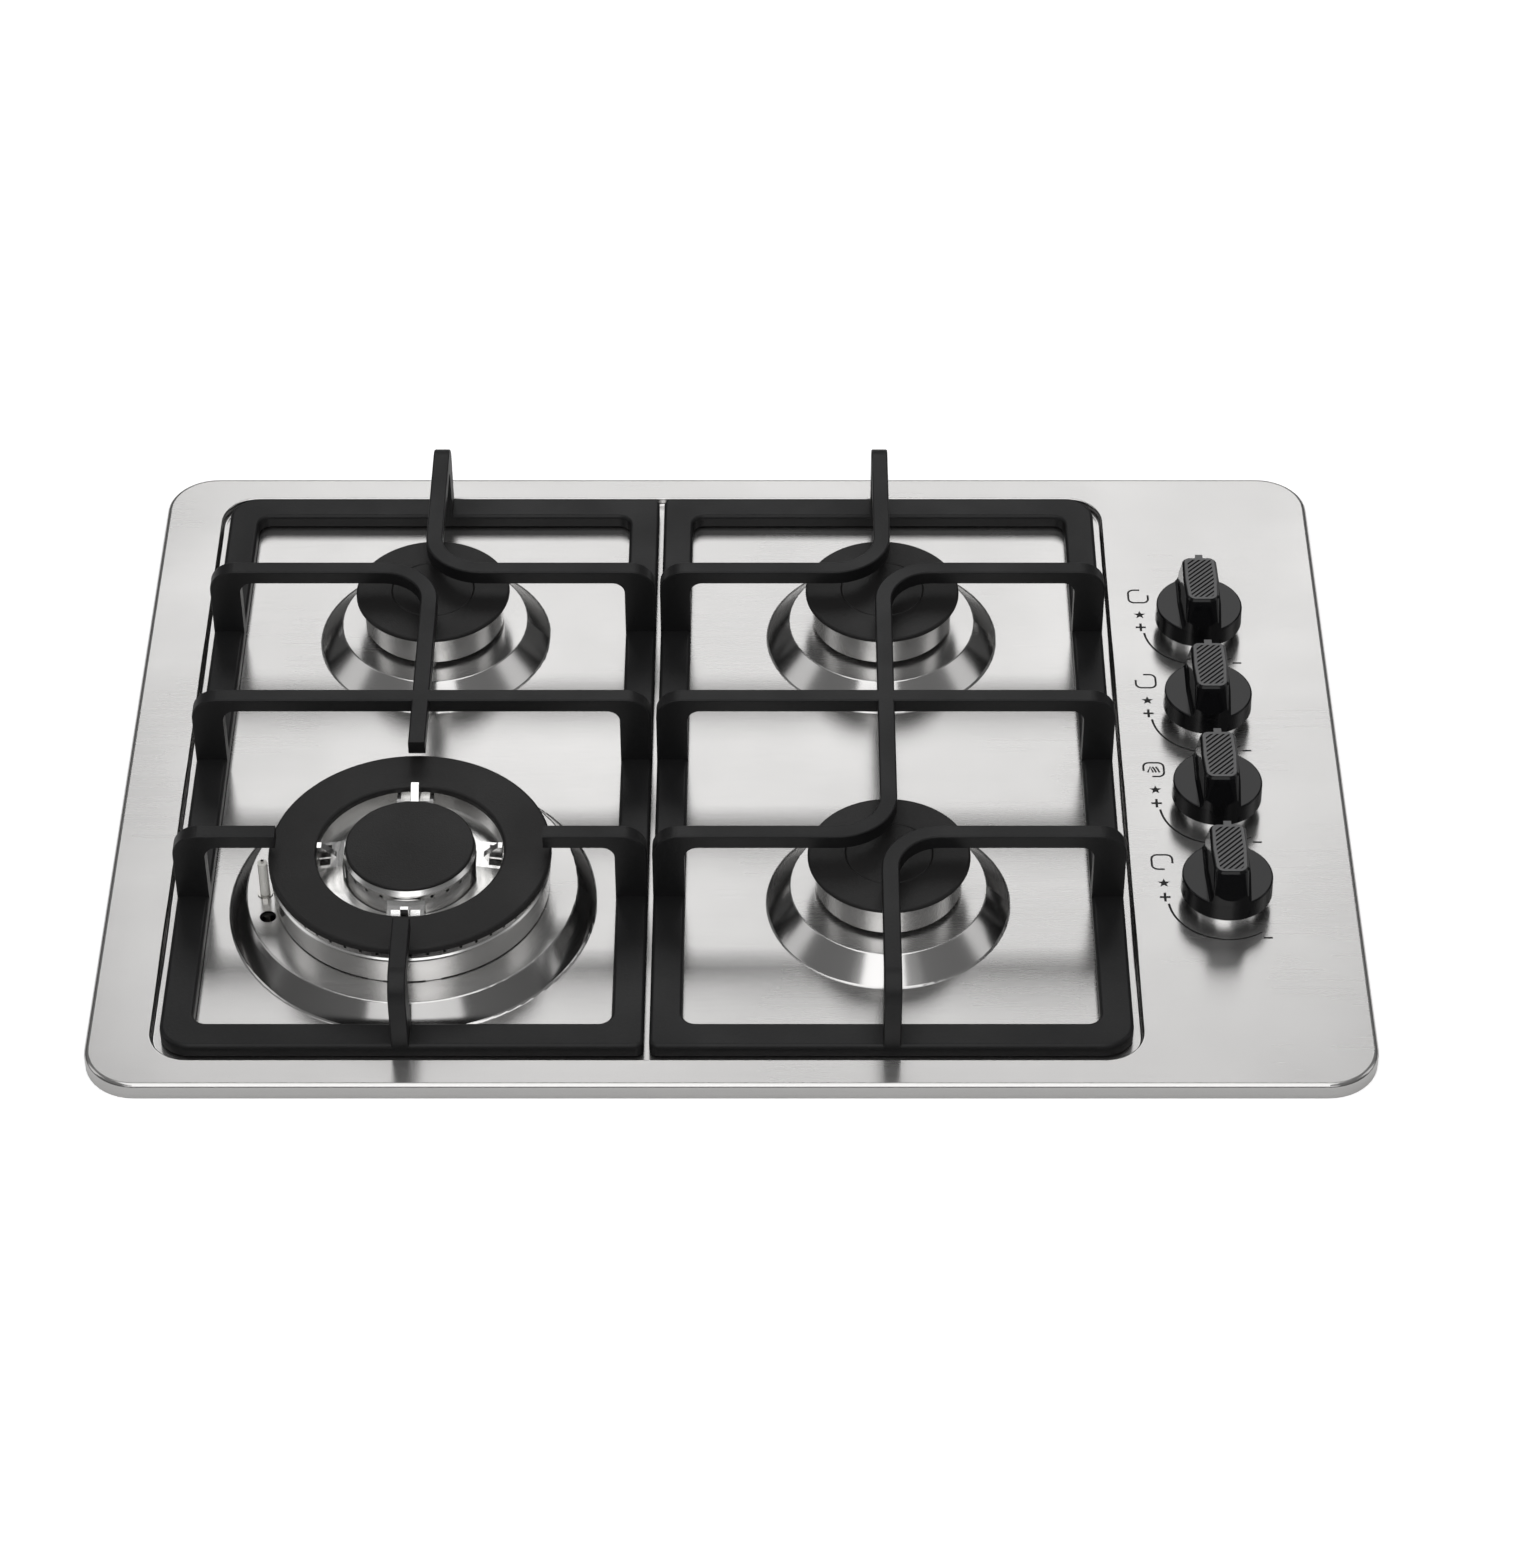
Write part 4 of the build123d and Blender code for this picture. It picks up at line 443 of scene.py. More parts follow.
def plate_material():
    """Brushed flats with spun and polished cones and walls."""
    material, tree, shader = new_material("brushed_stainless", (0.62, 0.612, 0.605), 1.0, 0.24)
    position = object_mapping(tree)
    lines = use_group(tree, brushed_lines, position, Fineness=1.0)
    smudges = use_group(tree, handling_smudges, position, Scale=9.0, Low=0.21, High=0.25)
    cones, reach = cone_mask(tree, position)
    polished = slope_mask(tree, wall_normal, level_normal)
    level = math_node(tree, "SUBTRACT", math_node(tree, "SUBTRACT", 1.0, polished), cones, clamp=True)
    height = math_node(
        tree,
        "ADD",
        math_node(tree, "MULTIPLY", lines.outputs["Lines"], level),
        math_node(tree, "MULTIPLY", spun_noise(tree, reach), math_node(tree, "MULTIPLY", cones, 0.5)),
    )
    bump(tree, shader, height, 0.012, scratch_height)
    stretch_light(tree, shader)
    roughness = math_node(
        tree, "ADD", smudges.outputs[0], math_node(tree, "MULTIPLY", lines.outputs["Broad"], 0.05)
    )
    link(tree, mix_values(tree, polished, roughness, polished_roughness), shader.inputs["Roughness"])
    tone = mix_values(tree, 0.5, lines.outputs["Lines"], lines.outputs["Broad"])
    brushed = mix_colors(tree, tone, brushed_dark, brushed_light)
    link(tree, mix_colors(tree, polished, brushed, polished_color), shader.inputs["Base Color"])
    return material


paint(plate_material(), "top_plate")

# %% [markdown]
# ## Black grates and caps
# Grates and caps are coated black, but not alike. The grates have a satin coat over cast iron, with
# a soft tooth and edges that catch the light; the caps have a finer, more matt enamel. Both use the
# same grain group at different scales, so the difference is only in the numbers.

# %% Coated materials


def coated_material(name, color, low, high, scale, strength, speckle_color, shine=0.3):
    """Black coat with a fine tooth, slow gloss changes and a few lighter specks."""
    material, tree, shader = new_material(name, color, 0.0, (low + high) / 2)
    position = object_mapping(tree)
    grain = use_group(tree, fine_grain, position, Scale=scale, Pits=0.35)
    smudges = use_group(tree, handling_smudges, position, Scale=22.0, Low=low, High=high)
    bump(tree, shader, grain.outputs["Height"], strength, 0.0003)
    link(tree, smudges.outputs[0], shader.inputs["Roughness"])
    shader.inputs["Specular IOR Level"].default_value = shine
    specks = math_node(tree, "MULTIPLY", grain.outputs["Speckle"], 0.5)
    link(tree, mix_colors(tree, specks, color, speckle_color), shader.inputs["Base Color"])
    return material


grate_coat = coated_material(
    "satin_black_casting", (0.009, 0.009, 0.0094), 0.36, 0.46, 1100.0, 0.2, (0.03, 0.03, 0.03)
)
cap_enamel = coated_material(
    "matt_black_enamel", (0.014, 0.0135, 0.0135), 0.42, 0.52, 1900.0, 0.3, (0.06, 0.058, 0.056)
)
rubber_coat = coated_material(
    "foot_rubber", (0.018, 0.018, 0.018), 0.7, 0.85, 1200.0, 0.2, (0.03, 0.03, 0.03)
)
seal_foam = coated_material(
    "seal_foam", (0.035, 0.035, 0.036), 0.85, 0.95, 700.0, 0.8, (0.01, 0.01, 0.01)
)
paint(grate_coat, "grate_left", "grate_right")
paint(cap_enamel, "burner_cap_rl", "burner_cap_rr", "burner_cap_fr")
paint(cap_enamel, "triple_ring_cap", "triple_centre_cap")
paint(rubber_coat, "grate_feet_left", "grate_feet_right")
paint(seal_foam, "worktop_seal")

# %% [markdown]
# ## Turned aluminium burners
# The flame spreaders are castings turned on a lathe, so their light runs round the axis. Each
# burner needs the rings centred on itself: the Mapping node moves the pattern to its own axis.

# %% Burner materials


def turned_material(name, centre, color, roughness, pitch, strength):
    """Bright metal with lathe rings round a burner's axis."""
    material, tree, shader = new_material(name, color, 1.0, roughness)
    position = object_mapping(tree, location=(-centre.x, -centre.y, 0))
    rings = use_group(tree, turned_rings, position, Pitch=pitch, Wobble=0.7)
    smudges = use_group(
        tree, handling_smudges, position, Scale=30.0, Low=roughness - 0.04, High=roughness + 0.05
    )
    bump(tree, shader, rings.outputs[0], strength, 0.0002)
    link(tree, smudges.outputs[0], shader.inputs["Roughness"])
    shade = tuple(0.86 * channel for channel in color)
    link(tree, mix_colors(tree, rings.outputs[0], shade, color), shader.inputs["Base Color"])
    return material


aluminium_color = (0.88, 0.875, 0.865)
for name in burner_names:
    spreader_metal = turned_material(
        f"turned_aluminium_{name}", burner_centres[name], aluminium_color, 0.2, 0.0005, 0.12
    )
    paint(spreader_metal, f"flame_spreader_{name}")
triple_metal = turned_material(
    "turned_aluminium_fl", burner_centres["fl"], aluminium_color, 0.22, 0.0006, 0.12
)
paint(triple_metal, "triple_burner_body", "triple_inner_ring")

# %% [markdown]
# The parts below the plate are plainer work: aluminium cups, taps and pipes, zinc-plated screws and
# rail, brass injectors and tap plugs, and spring steel. They share one function and differ in colour,
# gloss and grain. They are out of sight here, but the model is looked at from below as well.

# %% Cast, plated and sprung metals


def cast_metal(name, color, roughness, scale=700.0, strength=0.25):
    """Unpolished metal with a cast or tumbled skin."""
    material, tree, shader = new_material(name, color, 1.0, roughness)
    position = object_mapping(tree)
    grain = use_group(tree, fine_grain, position, Scale=scale, Pits=0.4)
    smudges = use_group(
        tree, handling_smudges, position, Scale=40.0, Low=roughness - 0.06, High=roughness + 0.08
    )
    bump(tree, shader, grain.outputs["Height"], strength, 0.0003)
    link(tree, smudges.outputs[0], shader.inputs["Roughness"])
    shade = tuple(0.75 * channel for channel in color)
    link(tree, mix_colors(tree, grain.outputs["Height"], shade, color), shader.inputs["Base Color"])
    return material


cup_metal = cast_metal("cast_aluminium", (0.70, 0.69, 0.67), 0.42)
zinc_metal = cast_metal("zinc_plate", (0.62, 0.62, 0.62), 0.34, 1500.0, 0.1)
brass_metal = cast_metal("machined_brass", (0.78, 0.58, 0.27), 0.24, 2200.0, 0.08)
spring_metal = cast_metal("spring_steel", (0.58, 0.57, 0.55), 0.22, 2500.0, 0.05)
paint(cup_metal, "burner_cups", "burner_cup_triple", "tap_bodies", "tap_covers", "gas_pipes")
paint(zinc_metal, "tray_screws", "cup_screws", "clamp_screws", "tap_screws", "gas_rail")
paint(brass_metal, "injectors", "gas_inlet_union", *[f"tap_plug_{name}" for name in knob_names])
paint(spring_metal, "igniter_electrodes", "igniter_clips")
paint(spring_metal, *[f"tap_spring_{name}" for name in knob_names])
paint(spring_metal, *[f"spindle_{name}" for name in knob_names])

# %% [markdown]
# ## Knobs, collars and electrodes
# The knobs are gloss black plastic, so their shape is read from its highlights: low roughness and a
# thin clear coat do that. The inlay is a soft grey plastic, and the collar below is plated.

# %% Moulded plastic


def plastic_material(name, color, low, high, scale, strength, coat=0.0, shine=0.5):
    """Moulded plastic with a slight tooth and, if asked, a clear coat."""
    material, tree, shader = new_material(name, color, 0.0, (low + high) / 2)
    position = object_mapping(tree)
    grain = use_group(tree, fine_grain, position, Scale=scale, Pits=0.2)
    smudges = use_group(tree, handling_smudges, position, Scale=35.0, Low=low, High=high)
    bump(tree, shader, grain.outputs["Height"], strength, 0.0002)
    link(tree, smudges.outputs[0], shader.inputs["Roughness"])
    shader.inputs["Specular IOR Level"].default_value = shine
    shader.inputs["Coat Weight"].default_value = coat
    shader.inputs["Coat Roughness"].default_value = 0.06
    lighter = tuple(1.25 * channel for channel in color)
    link(tree, mix_colors(tree, grain.outputs["Speckle"], color, lighter), shader.inputs["Base Color"])
    return material


print("plastic ready")

# %% [markdown]
# The inlay's grooves are real cuts, but at this size their shadows are weak. Their floors get a painted
# shade, darker than the ridges, and the height inside the node tells floor from ridge.

# %% Knobs and their inlays
knob_black = plastic_material(
    "knob_gloss_black", (0.004, 0.004, 0.0045), 0.1, 0.15, 1600.0, 0.02, 0.1, 0.22
)
inlay_grey = plastic_material("inlay_grey", (0.135, 0.135, 0.137), 0.42, 0.5, 1400.0, 0.12, 0.0, 0.3)
groove_depth = 0.0004
# Colour of the painted shade in the groove floors.
painted_groove_shade = (0.012, 0.012, 0.012)


def paint_groove_shade(material, top_z):
    """Painted shade in the groove floors: mix towards a darker colour below the ridges' top."""
    tree = material.node_tree
    shader = tree.nodes["Principled BSDF"]
    heights = add_node(tree, "ShaderNodeSeparateXYZ")
    link(tree, object_mapping(tree), heights.inputs[0])
    spread = add_node(tree, "ShaderNodeMapRange")
    spread.inputs["From Min"].default_value = top_z - groove_depth
    spread.inputs["From Max"].default_value = top_z
    link(tree, heights.outputs["Z"], spread.inputs["Value"])
    ridge_color = shader.inputs["Base Color"].links[0].from_socket
    # Painted shade: the colour turns darker below the ridges' top, in the groove floors.
    shaded_grooves = mix_colors(tree, spread.outputs[0], painted_groove_shade, ridge_color)
    link(tree, shaded_grooves, shader.inputs["Base Color"])


paint_groove_shade(inlay_grey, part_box("knob_inlay_fr")[1].z)
paint(knob_black, *[f"knob_{name}" for name in knob_names])
paint(inlay_grey, *[f"knob_inlay_{name}" for name in knob_names])

# %% [markdown]
# The electric parts below the plate are plain mouldings, and the electrodes stand in glazed ceramic.

# %% Small plastic and ceramic parts
white_plastic = plastic_material("white_plastic", (0.72, 0.72, 0.70), 0.4, 0.5, 900.0, 0.1)
black_plastic = plastic_material("black_plastic", (0.02, 0.02, 0.02), 0.4, 0.5, 900.0, 0.1)
lead_silicone = plastic_material("lead_silicone", (0.62, 0.60, 0.56), 0.5, 0.6, 900.0, 0.1)
wire_cover = plastic_material("wire_cover", (0.05, 0.05, 0.052), 0.45, 0.55, 900.0, 0.1)
ceramic_white = plastic_material("glazed_ceramic", (0.80, 0.79, 0.75), 0.12, 0.2, 700.0, 0.04, 0.5)
paint(white_plastic, "spark_generator", "terminal_box")
paint(black_plastic, "ignition_switches", "cable_gland")
paint(lead_silicone, "ignition_leads")
paint(wire_cover, "inner_wiring")
paint(ceramic_white, "igniter_insulators")


def chrome_material():
    """Bright plating with faint wiping marks."""
    material, tree, shader = new_material("bright_plating", (0.92, 0.92, 0.92), 1.0, 0.2)
    position = object_mapping(tree)
    smudges = use_group(tree, handling_smudges, position, Scale=60.0, Low=0.16, High=0.24)
    link(tree, smudges.outputs[0], shader.inputs["Roughness"])
    return material


paint(chrome_material(), "knob_collars")

# %% [markdown]
# ## The zinc-coated tray
# Hot-dipped sheet shows large flat crystals. A Voronoi texture gives each crystal its own shade and
# gloss, which is how the real coating looks from below.

# %% Tray material


def spangle_material():
    """Zinc crystals a few millimetres across."""
    material, tree, shader = new_material("spangled_zinc", (0.56, 0.57, 0.58), 0.9, 0.42)
    position = object_mapping(tree)
    cells = tree.nodes.new("ShaderNodeTexVoronoi")
    cells.inputs["Scale"].default_value = 130.0
    link(tree, position, cells.inputs["Vector"])
    parts = tree.nodes.new("ShaderNodeSeparateColor")
    link(tree, cells.outputs["Color"], parts.inputs[0])
    link(
        tree,
        mix_colors(tree, parts.outputs[0], (0.46, 0.47, 0.485), (0.64, 0.65, 0.655)),
        shader.inputs["Base Color"],
    )
    link(tree, mix_values(tree, parts.outputs[1], 0.32, 0.52), shader.inputs["Roughness"])
    grain = use_group(tree, fine_grain, position, Scale=1200.0, Pits=0.2)
    bump(tree, shader, grain.outputs["Height"], 0.08, 0.0002)
    return material


paint(spangle_material(), "bottom_tray", "worktop_clamps")

# %% [markdown]
# ## Printed marks
# Beside each knob the plate carries small printed signs: a rounded square whose gap shows which
# burner the knob serves, a star for the spark, a plus, an arc that thins towards the small flame
# and a minus. Each is a flat strip of ink a few hundredths of a millimetre above the steel. A
# strip along a path is the same job each time, so one function widens a list of points.

# %% Strips of ink along a path
ink_lift = 0.00004
icon_size = 0.0097
ink_line = 0.0010
flame_line = 0.0009
mark_x = knob_centres["rr"].x - 0.0278


def strip(points, widths, closed=False):
    """Vertices and faces of a flat strip along points, with a width at each point."""
    count = len(points)
    vertices = []
    for index, point in enumerate(points):
        before = points[index - 1] if index or closed else point
        after = points[(index + 1) % count] if index < count - 1 or closed else point
        along = (Vector(after) - Vector(before)).normalized()
        side = Vector((-along.y, along.x)) * widths[index] / 2
        vertices.append(Vector(point) + side)
        vertices.append(Vector(point) - side)
    faces = []
    for index in range(count if closed else count - 1):
        following = (index + 1) % count
        faces.append((2 * index, 2 * index + 1, 2 * following + 1, 2 * following))
    return vertices, faces


def arc_points(centre, radius, start, end, steps):
    """Points along an arc, with angles in degrees."""
    points = []
    for step in range(steps + 1):
        angle = math.radians(start + (end - start) * step / steps)
        points.append((centre[0] + radius * math.cos(angle), centre[1] + radius * math.sin(angle)))
    return points


print("strips ready, line", ink_line)

# %% [markdown]
# The paths themselves are worked out: the square from quarter circles joined by straight runs, the
# star from ten points on two circles. So a size can change and the mark stays even.

# %% Outlines of the square and the star


def rounded_square(centre, size, corner, gap):
    """Outline of a rounded square that starts after its gap and ends before it."""
    end_reach = 1.45
    half = size / 2 - corner
    quarters = ((1, 1, 0), (-1, 1, 90), (-1, -1, 180), (1, -1, 270))
    first = {"top_right": 1, "top_left": 2, "bottom_left": 3, "bottom_right": 0}[gap]
    points = []
    for step in range(3):
        sign_x, sign_y, start = quarters[(first + step) % 4]
        middle = (centre[0] + sign_x * half, centre[1] + sign_y * half)
        points += arc_points(middle, corner, start, start + 90, 6)
    after_start = math.radians(quarters[(first + 3) % 4][2])
    before = Vector((points[-1][0], points[-1][1]))
    end_way = Vector((-math.sin(after_start), math.cos(after_start)))
    points.append(tuple(before + end_way * (half * end_reach)))
    begin = Vector((points[0][0], points[0][1]))
    begin_way = Vector((-math.cos(after_start), -math.sin(after_start)))
    points.insert(0, tuple(begin - begin_way * (half * end_reach)))
    return points


def star_points(centre, radius):
    """Five-pointed star: ten points, every second one drawn in."""
    inner_share = 0.42
    points = []
    for step in range(10):
        reach = radius if step % 2 == 0 else radius * inner_share
        angle = math.radians(90 + 36 * step)
        points.append((centre[0] + reach * math.cos(angle), centre[1] + reach * math.sin(angle)))
    return points


print("star points", len(star_points((0, 0), 1.0)))

# %% [markdown]
# Many small shapes are one print, so they become one mesh at one height, with every face turned up.

# %% One mesh from flat shapes


def flat_piece(name, shapes):
    """One mesh from several flat shapes given as (vertices, faces)."""
    vertices, faces = [], []
    for shape_vertices, shape_faces in shapes:
        start = len(vertices)
        vertices += [(v[0], v[1], plate_top_z + ink_lift) for v in shape_vertices]
        faces += [tuple(start + index for index in face) for face in shape_faces]
    mesh = bpy.data.meshes.new(name)
    mesh.from_pydata(vertices, [], faces)
    mesh.update()
    for polygon in mesh.polygons:
        if polygon.normal.z < 0:
            polygon.flip()
    mesh.update()
    piece = bpy.data.objects.new(name, mesh)
    scene.collection.objects.link(piece)
    return piece


print("flat shapes lie at", round(plate_top_z + ink_lift, 5))

# %% [markdown]
# Screen ink is matt and almost black. It is thin enough that the brushing below shows faintly, so
# the ink takes the same brush group as the steel, only with far less contrast.

# %% Ink


def ink_material():
    """Dark printed ink that lets a little of the brushing through."""
    material, tree, shader = new_material("printed_ink", (0.008, 0.008, 0.008), 0.0, 0.6)
    position = object_mapping(tree)
    lines = use_group(tree, brushed_lines, position, Fineness=1.0)
    link(
        tree,
        mix_colors(tree, lines.outputs["Lines"], (0.006, 0.006, 0.006), (0.012, 0.012, 0.012)),
        shader.inputs["Base Color"],
    )
    bump(tree, shader, lines.outputs["Lines"], 0.1, 0.0002)
    return material


printed_ink = ink_material()
print("ink", printed_ink.name)

# %% [markdown]
# The gap in each rounded square stands at the corner of the cooktop where the knob's burner is. The
# triple burner's square also holds small flames: a pointed one and two leaning strokes.

# %% Burner signs
sign_rise = 0.0252
sign_corner = 0.0028
gaps = {"rr": "top_right", "rl": "top_left", "fl": "bottom_left", "fr": "bottom_right"}


def burner_sign(name, knob):
    """Rounded square with a gap at the burner's corner, and flames for the triple burner."""
    centre = (mark_x, knob.y + sign_rise)
    outline = rounded_square(centre, icon_size, sign_corner, gaps[name])
    shapes = [strip(outline, [ink_line] * len(outline))]
    if name == "fl":
        low, high = centre[1] - 0.0020, centre[1] + 0.0020
        left = centre[0] - 0.0029
        peak = [(left, low), (left + 0.0013, high), (left + 0.0026, low)]
        shapes.append(strip(peak, [flame_line] * 3))
        for start in (left + 0.0024, left + 0.0040):
            stroke = [(start, high), (start + 0.0008, centre[1] + 0.0004), (start + 0.0016, low)]
            shapes.append(strip(stroke, [flame_line] * 3))
    return shapes


signs = []
for name, knob in knob_centres.items():
    signs += burner_sign(name, knob)
burner_signs = flat_piece("burner_signs", signs)
burner_signs.data.materials.append(printed_ink)
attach(burner_signs, "hob")
print("burner signs", len(burner_signs.data.polygons), "faces")

# %% [markdown]
# ## One dial, printed four times
# The star, the plus, the arc and the minus are the same beside every knob, and a printer would use
# one screen for all four. Copying them by hand would work, but then each change has to be made four
# times. Geometry Nodes place one drawing at four points instead: Instance on Points sets the copies,
# Realize Instances makes them plain faces, and Set Material inks them.

# %% The drawing of one dial
star_rise = 0.0110
star_radius = 0.0030
plus_rise = 0.0016
plus_arm = 0.0025
plus_line = 0.0012
arc_radius = 0.0265
arc_start, arc_end = 186, 305
arc_thick, arc_thin = 0.0011, 0.0006
minus_place = (0.0178, -0.0253)
minus_half = 0.0021
upright_share = 1.15


def plus_shapes(centre):
    """A plus from one level strip and two upright ones that meet it without overlap."""
    x, y = centre
    shapes = [strip([(x - plus_arm, y), (x + plus_arm, y)], [plus_line] * 2)]
    for side in (-1, 1):
        upright = [(x, y + side * plus_line / 2), (x, y + side * upright_share * plus_arm)]
        shapes.append(strip(upright, [plus_line] * 2))
    return shapes


def dial_shapes():
    """Star, plus, tapering arc and minus round a knob that stands at the origin."""
    aside = mark_x - knob_centres["rr"].x
    star_centre = (aside, star_rise)
    star = star_points(star_centre, star_radius)
    shapes = [([star_centre] + star, [(0, i + 1, (i + 1) % 10 + 1) for i in range(10)])]
    shapes += plus_shapes((aside, plus_rise))
    steps = 40
    arc = arc_points((0, 0), arc_radius, arc_start, arc_end, steps)
    taper = (arc_thick - arc_thin) / steps
    shapes.append(strip(arc, [arc_thick - taper * i for i in range(steps + 1)]))
    minus_x, minus_y = minus_place
    minus = [(minus_x - minus_half, minus_y), (minus_x + minus_half, minus_y)]
    shapes.append(strip(minus, [ink_line] * 2))
    return shapes


dial = flat_piece("dial_drawing", dial_shapes())
print("one dial", len(dial.data.polygons), "faces")

# %% [markdown]
# The tree has named inputs for the points, the drawing, its scale and its ink, so that the same tree
# could print any other drawing. The modifier's values are set by the sockets' own identifiers.

# %% The node tree that repeats it


def repeat_tree():
    """Geometry Nodes that set a drawing on every point, with named inputs."""
    tree = bpy.data.node_groups.new("drawing_on_points", "GeometryNodeTree")
    sockets = {}
    kinds = {"Points": "Geometry", "Drawing": "Object", "Scale": "Float", "Ink": "Material"}
    for title, kind in kinds.items():
        sockets[title] = tree.interface.new_socket(
            name=title, in_out="INPUT", socket_type="NodeSocket" + kind
        )
    tree.interface.new_socket(name="Marks", in_out="OUTPUT", socket_type="NodeSocketGeometry")
    entry = tree.nodes.new("NodeGroupInput")
    leave = tree.nodes.new("NodeGroupOutput")
    source = tree.nodes.new("GeometryNodeObjectInfo")
    copies = tree.nodes.new("GeometryNodeInstanceOnPoints")
    plain = tree.nodes.new("GeometryNodeRealizeInstances")
    inked = tree.nodes.new("GeometryNodeSetMaterial")
    link(tree, entry.outputs["Drawing"], source.inputs["Object"])
    link(tree, entry.outputs["Points"], copies.inputs["Points"])
    link(tree, source.outputs["Geometry"], copies.inputs["Instance"])
    link(tree, entry.outputs["Scale"], copies.inputs["Scale"])
    link(tree, copies.outputs[0], plain.inputs[0])
    link(tree, plain.outputs[0], inked.inputs["Geometry"])
    link(tree, entry.outputs["Ink"], inked.inputs["Material"])
    link(tree, inked.outputs[0], leave.inputs[0])
    return tree, sockets


drawing_on_points, repeat_sockets = repeat_tree()
print("inputs", list(repeat_sockets))

# %% [markdown]
# Four points, one below each knob's axis, carry the four copies. The result is then kept as a plain
# mesh and the modifier goes, because a print is part of the plate's surface and stays as it is.

# %% Dials at the four knobs
dial_points = bpy.data.meshes.new("dial_points")
dial_points.from_pydata([(knob.x, knob.y, 0) for knob in knob_centres.values()], [], [])
dial_marks = bpy.data.objects.new("dial_marks", dial_points)
scene.collection.objects.link(dial_marks)
repeat = dial_marks.modifiers.new("repeat", "NODES")
repeat.node_group = drawing_on_points
repeat[repeat_sockets["Drawing"].identifier] = dial
repeat[repeat_sockets["Scale"].identifier] = 1.0
repeat[repeat_sockets["Ink"].identifier] = printed_ink
bpy.context.view_layer.update()
evaluated = dial_marks.evaluated_get(bpy.context.evaluated_depsgraph_get())
baked = bpy.data.meshes.new_from_object(evaluated)
dial_marks.modifiers.remove(repeat)
dial_marks.data = baked
bpy.data.objects.remove(dial)
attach(dial_marks, "hob")
print("dial marks", len(baked.polygons), "faces")

# %% [markdown]
# ## The studio
# The plate lies on a pale worktop with a cut-out, so the tray below is out of sight, as it is in a
# kitchen. Its floor is a plain slab that goes on to all sides, so the cooktop keeps its shadow.

# %% Worktop
worktop_reach = 4.0
worktop_thickness = 0.03
cutout_half_x = 0.280
cutout_half_y = 0.205


def worktop():
    """Slab with a cut-out, as one closed mesh."""
    outer = [(-1, -1), (1, -1), (1, 1), (-1, 1)]
    vertices = []
    for z in (worktop_z, worktop_z - worktop_thickness):
        vertices += [(x * worktop_reach, y * worktop_reach, z) for x, y in outer]
        vertices += [(x * cutout_half_x, y * cutout_half_y, z) for x, y in outer]
    faces = []
    for i in range(4):
        j = (i + 1) % 4
        faces.append((i, j, 4 + j, 4 + i))
        faces.append((8 + j, 8 + i, 12 + i, 12 + j))
        faces.append((j, i, 8 + i, 8 + j))
        faces.append((4 + i, 4 + j, 12 + j, 12 + i))
    mesh = bpy.data.meshes.new("worktop")
    mesh.from_pydata(vertices, [], faces)
    mesh.update()
    slab = bpy.data.objects.new("worktop", mesh)
    scene.collection.objects.link(slab)
    return slab


slab = worktop()
print("worktop", len(slab.data.polygons), "faces")

# %% [markdown]
# The photograph's background is white. A pale surface under plain light comes out grey, so a little
# emission that only the camera sees lifts it to white, while lamps and mirrors meet a plain surface.

# %% Worktop material
floor_glow = 0.55


def floor_material():
    """Pale surface that shows white to the camera and still takes a shadow."""
    material, tree, shader = new_material("pale_worktop", (0.80, 0.80, 0.80), 0.0, 0.9)
    glow = tree.nodes.new("ShaderNodeEmission")
    glow.inputs["Color"].default_value = (1, 1, 1, 1)
    path = tree.nodes.new("ShaderNodeLightPath")
    seen = math_node(tree, "MULTIPLY", path.outputs["Is Camera Ray"], floor_glow)
    link(tree, seen, glow.inputs["Strength"])
    both = tree.nodes.new("ShaderNodeAddShader")
    link(tree, shader.outputs[0], both.inputs[0])
    link(tree, glow.outputs[0], both.inputs[1])
    link(tree, both.outputs[0], tree.nodes["Material Output"].inputs["Surface"])
    return material


slab.data.materials.append(floor_material())
print("worktop material", slab.data.materials[0].name)

# %% [markdown]
# ## What the steel mirrors
# Steel only looks like steel when it has something to mirror. The world gives plain light to every
# surface, is white for the camera, and is a dark graded sky for mirrors, so that what is bright in
# the steel is chosen by the lamps alone.

# %% World


def world_light(diffuse_level, mirror_low, mirror_high):
    """White behind the object, plain light on it, and a graded sky for metal to mirror."""
    world = bpy.data.worlds.new("studio")
    scene.world = world
    world.use_nodes = True
    tree = world.node_tree
    background = tree.nodes["Background"]
    background.inputs["Color"].default_value = (1, 1, 1, 1)
    coordinates = tree.nodes.new("ShaderNodeTexCoord")
    parts = tree.nodes.new("ShaderNodeSeparateXYZ")
    link(tree, coordinates.outputs["Generated"], parts.inputs[0])
    rise = tree.nodes.new("ShaderNodeMapRange")
    rise.interpolation_type = "SMOOTHSTEP"
    rise.inputs["From Min"].default_value = 0.05
    rise.inputs["From Max"].default_value = 0.75
    rise.inputs["To Min"].default_value = mirror_low
    rise.inputs["To Max"].default_value = mirror_high
    link(tree, parts.outputs["Z"], rise.inputs["Value"])
    path = tree.nodes.new("ShaderNodeLightPath")
    mirrored = math_node(
        tree, "MAXIMUM", path.outputs["Is Glossy Ray"], path.outputs["Is Transmission Ray"]
    )
    level = mix_values(tree, mirrored, diffuse_level, rise.outputs[0])
    strength = mix_values(tree, path.outputs["Is Camera Ray"], level, 1.0)
    link(tree, strength, background.inputs["Strength"])
    return world


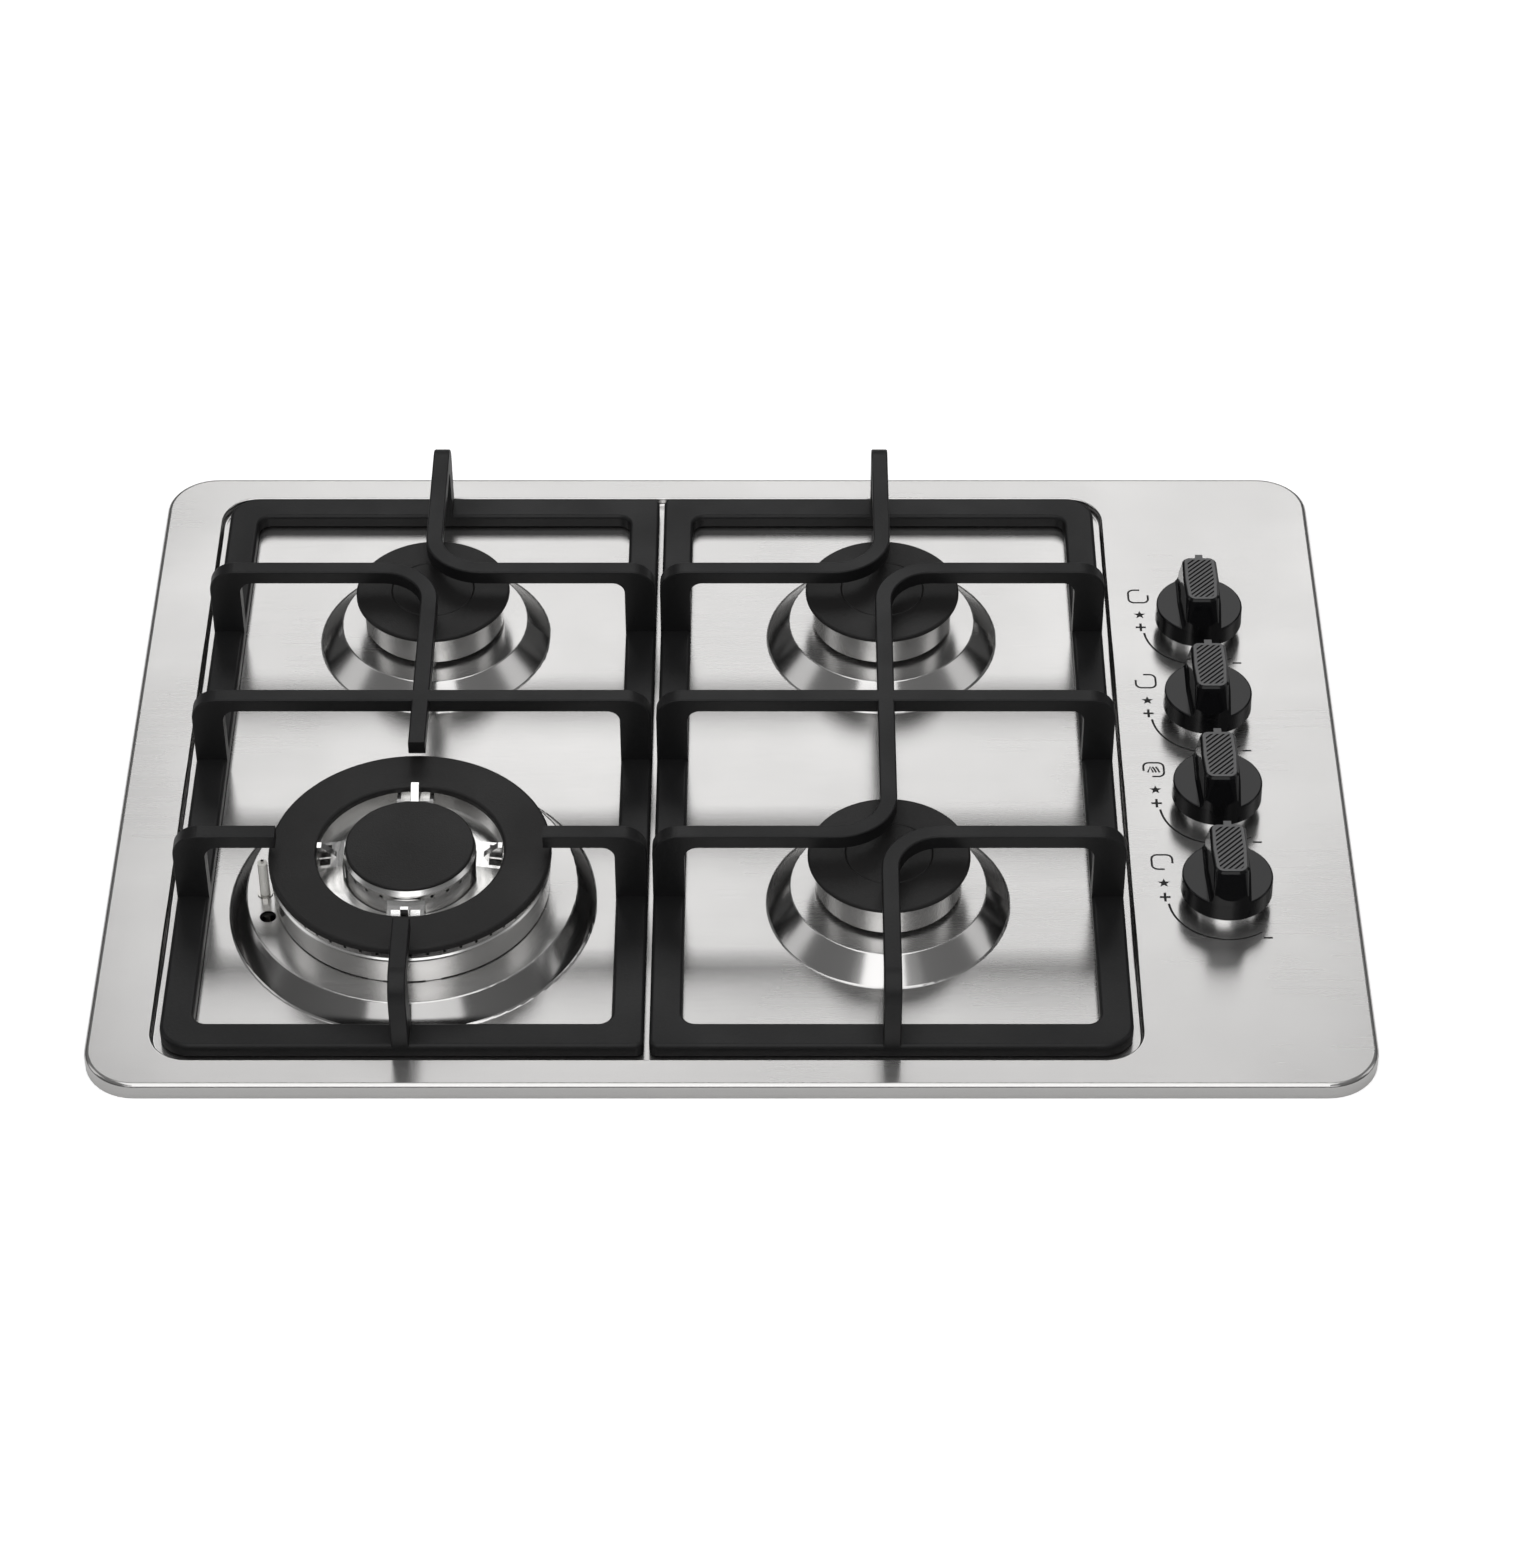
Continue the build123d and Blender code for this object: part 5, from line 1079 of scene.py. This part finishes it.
studio = world_light(0.34, 0.07, 0.20)
print("world", studio.name)

# %% [markdown]
# A studio lights steel with large soft panels, each placed where one face of the steel mirrors it
# into the camera. The rear one is for the flats, the top and the front one for the slopes of the
# cones that face the camera, and the two at the sides draw the rims and the black castings.

# %% Lamps


def soft_panel(name, place, target, width, height, power):
    """Rectangular area lamp that faces a point."""
    lamp = bpy.data.lights.new(name, "AREA")
    lamp.shape = "RECTANGLE"
    lamp.size = width
    lamp.size_y = height
    lamp.energy = power
    panel = bpy.data.objects.new(name, lamp)
    panel.location = place
    panel.rotation_euler = (Vector(target) - Vector(place)).to_track_quat("-Z", "Y").to_euler()
    scene.collection.objects.link(panel)
    return panel


soft_panel("rear_panel", (0.02, 2.0, 1.80), (0.02, 0, 0.05), 1.55, 0.95, 6.9)
soft_panel("top_panel", (-0.1, -1.25, 2.1), (-0.1, -1.24, 0.05), 1.7, 3.5, 24.0)
soft_panel("front_panel", (0.0, -3.4, 1.9), (0.0, 0.0, 0.05), 3.6, 1.3, 13.0)
soft_panel("left_panel", (-2.2, 0.1, 1.2), (0, 0, 0.05), 0.9, 1.6, 3.0)
soft_panel("right_panel", (2.2, 0.1, 1.2), (0, 0, 0.05), 0.9, 1.6, 3.0)

# %% [markdown]
# ## The camera
# The camera was found by fitting the plate's outline and its burners: it stands 1.6 m in front of
# the cooktop's middle, as high above it, and looks down by 42.5 degrees through a long lens, so the
# sides converge only a little.

# %% Camera
camera_place = (0.0203, -1.6079, 1.5100)
camera_pitch = math.radians(90 - 42.51)
lens_length = 104.95
sideways_shift = -0.01207

camera_data = bpy.data.cameras.new("camera")
camera_data.sensor_fit = "VERTICAL"
camera_data.sensor_height = 36.0
camera_data.lens = lens_length
camera_data.shift_x = sideways_shift
camera_data.clip_end = 50.0
camera = bpy.data.objects.new("camera", camera_data)
camera.location = camera_place
camera.rotation_euler = (camera_pitch, 0, 0)
scene.collection.objects.link(camera)
scene.camera = camera
scene.view_settings.view_transform = "Standard"
print("camera at", camera_place, "lens", lens_length)
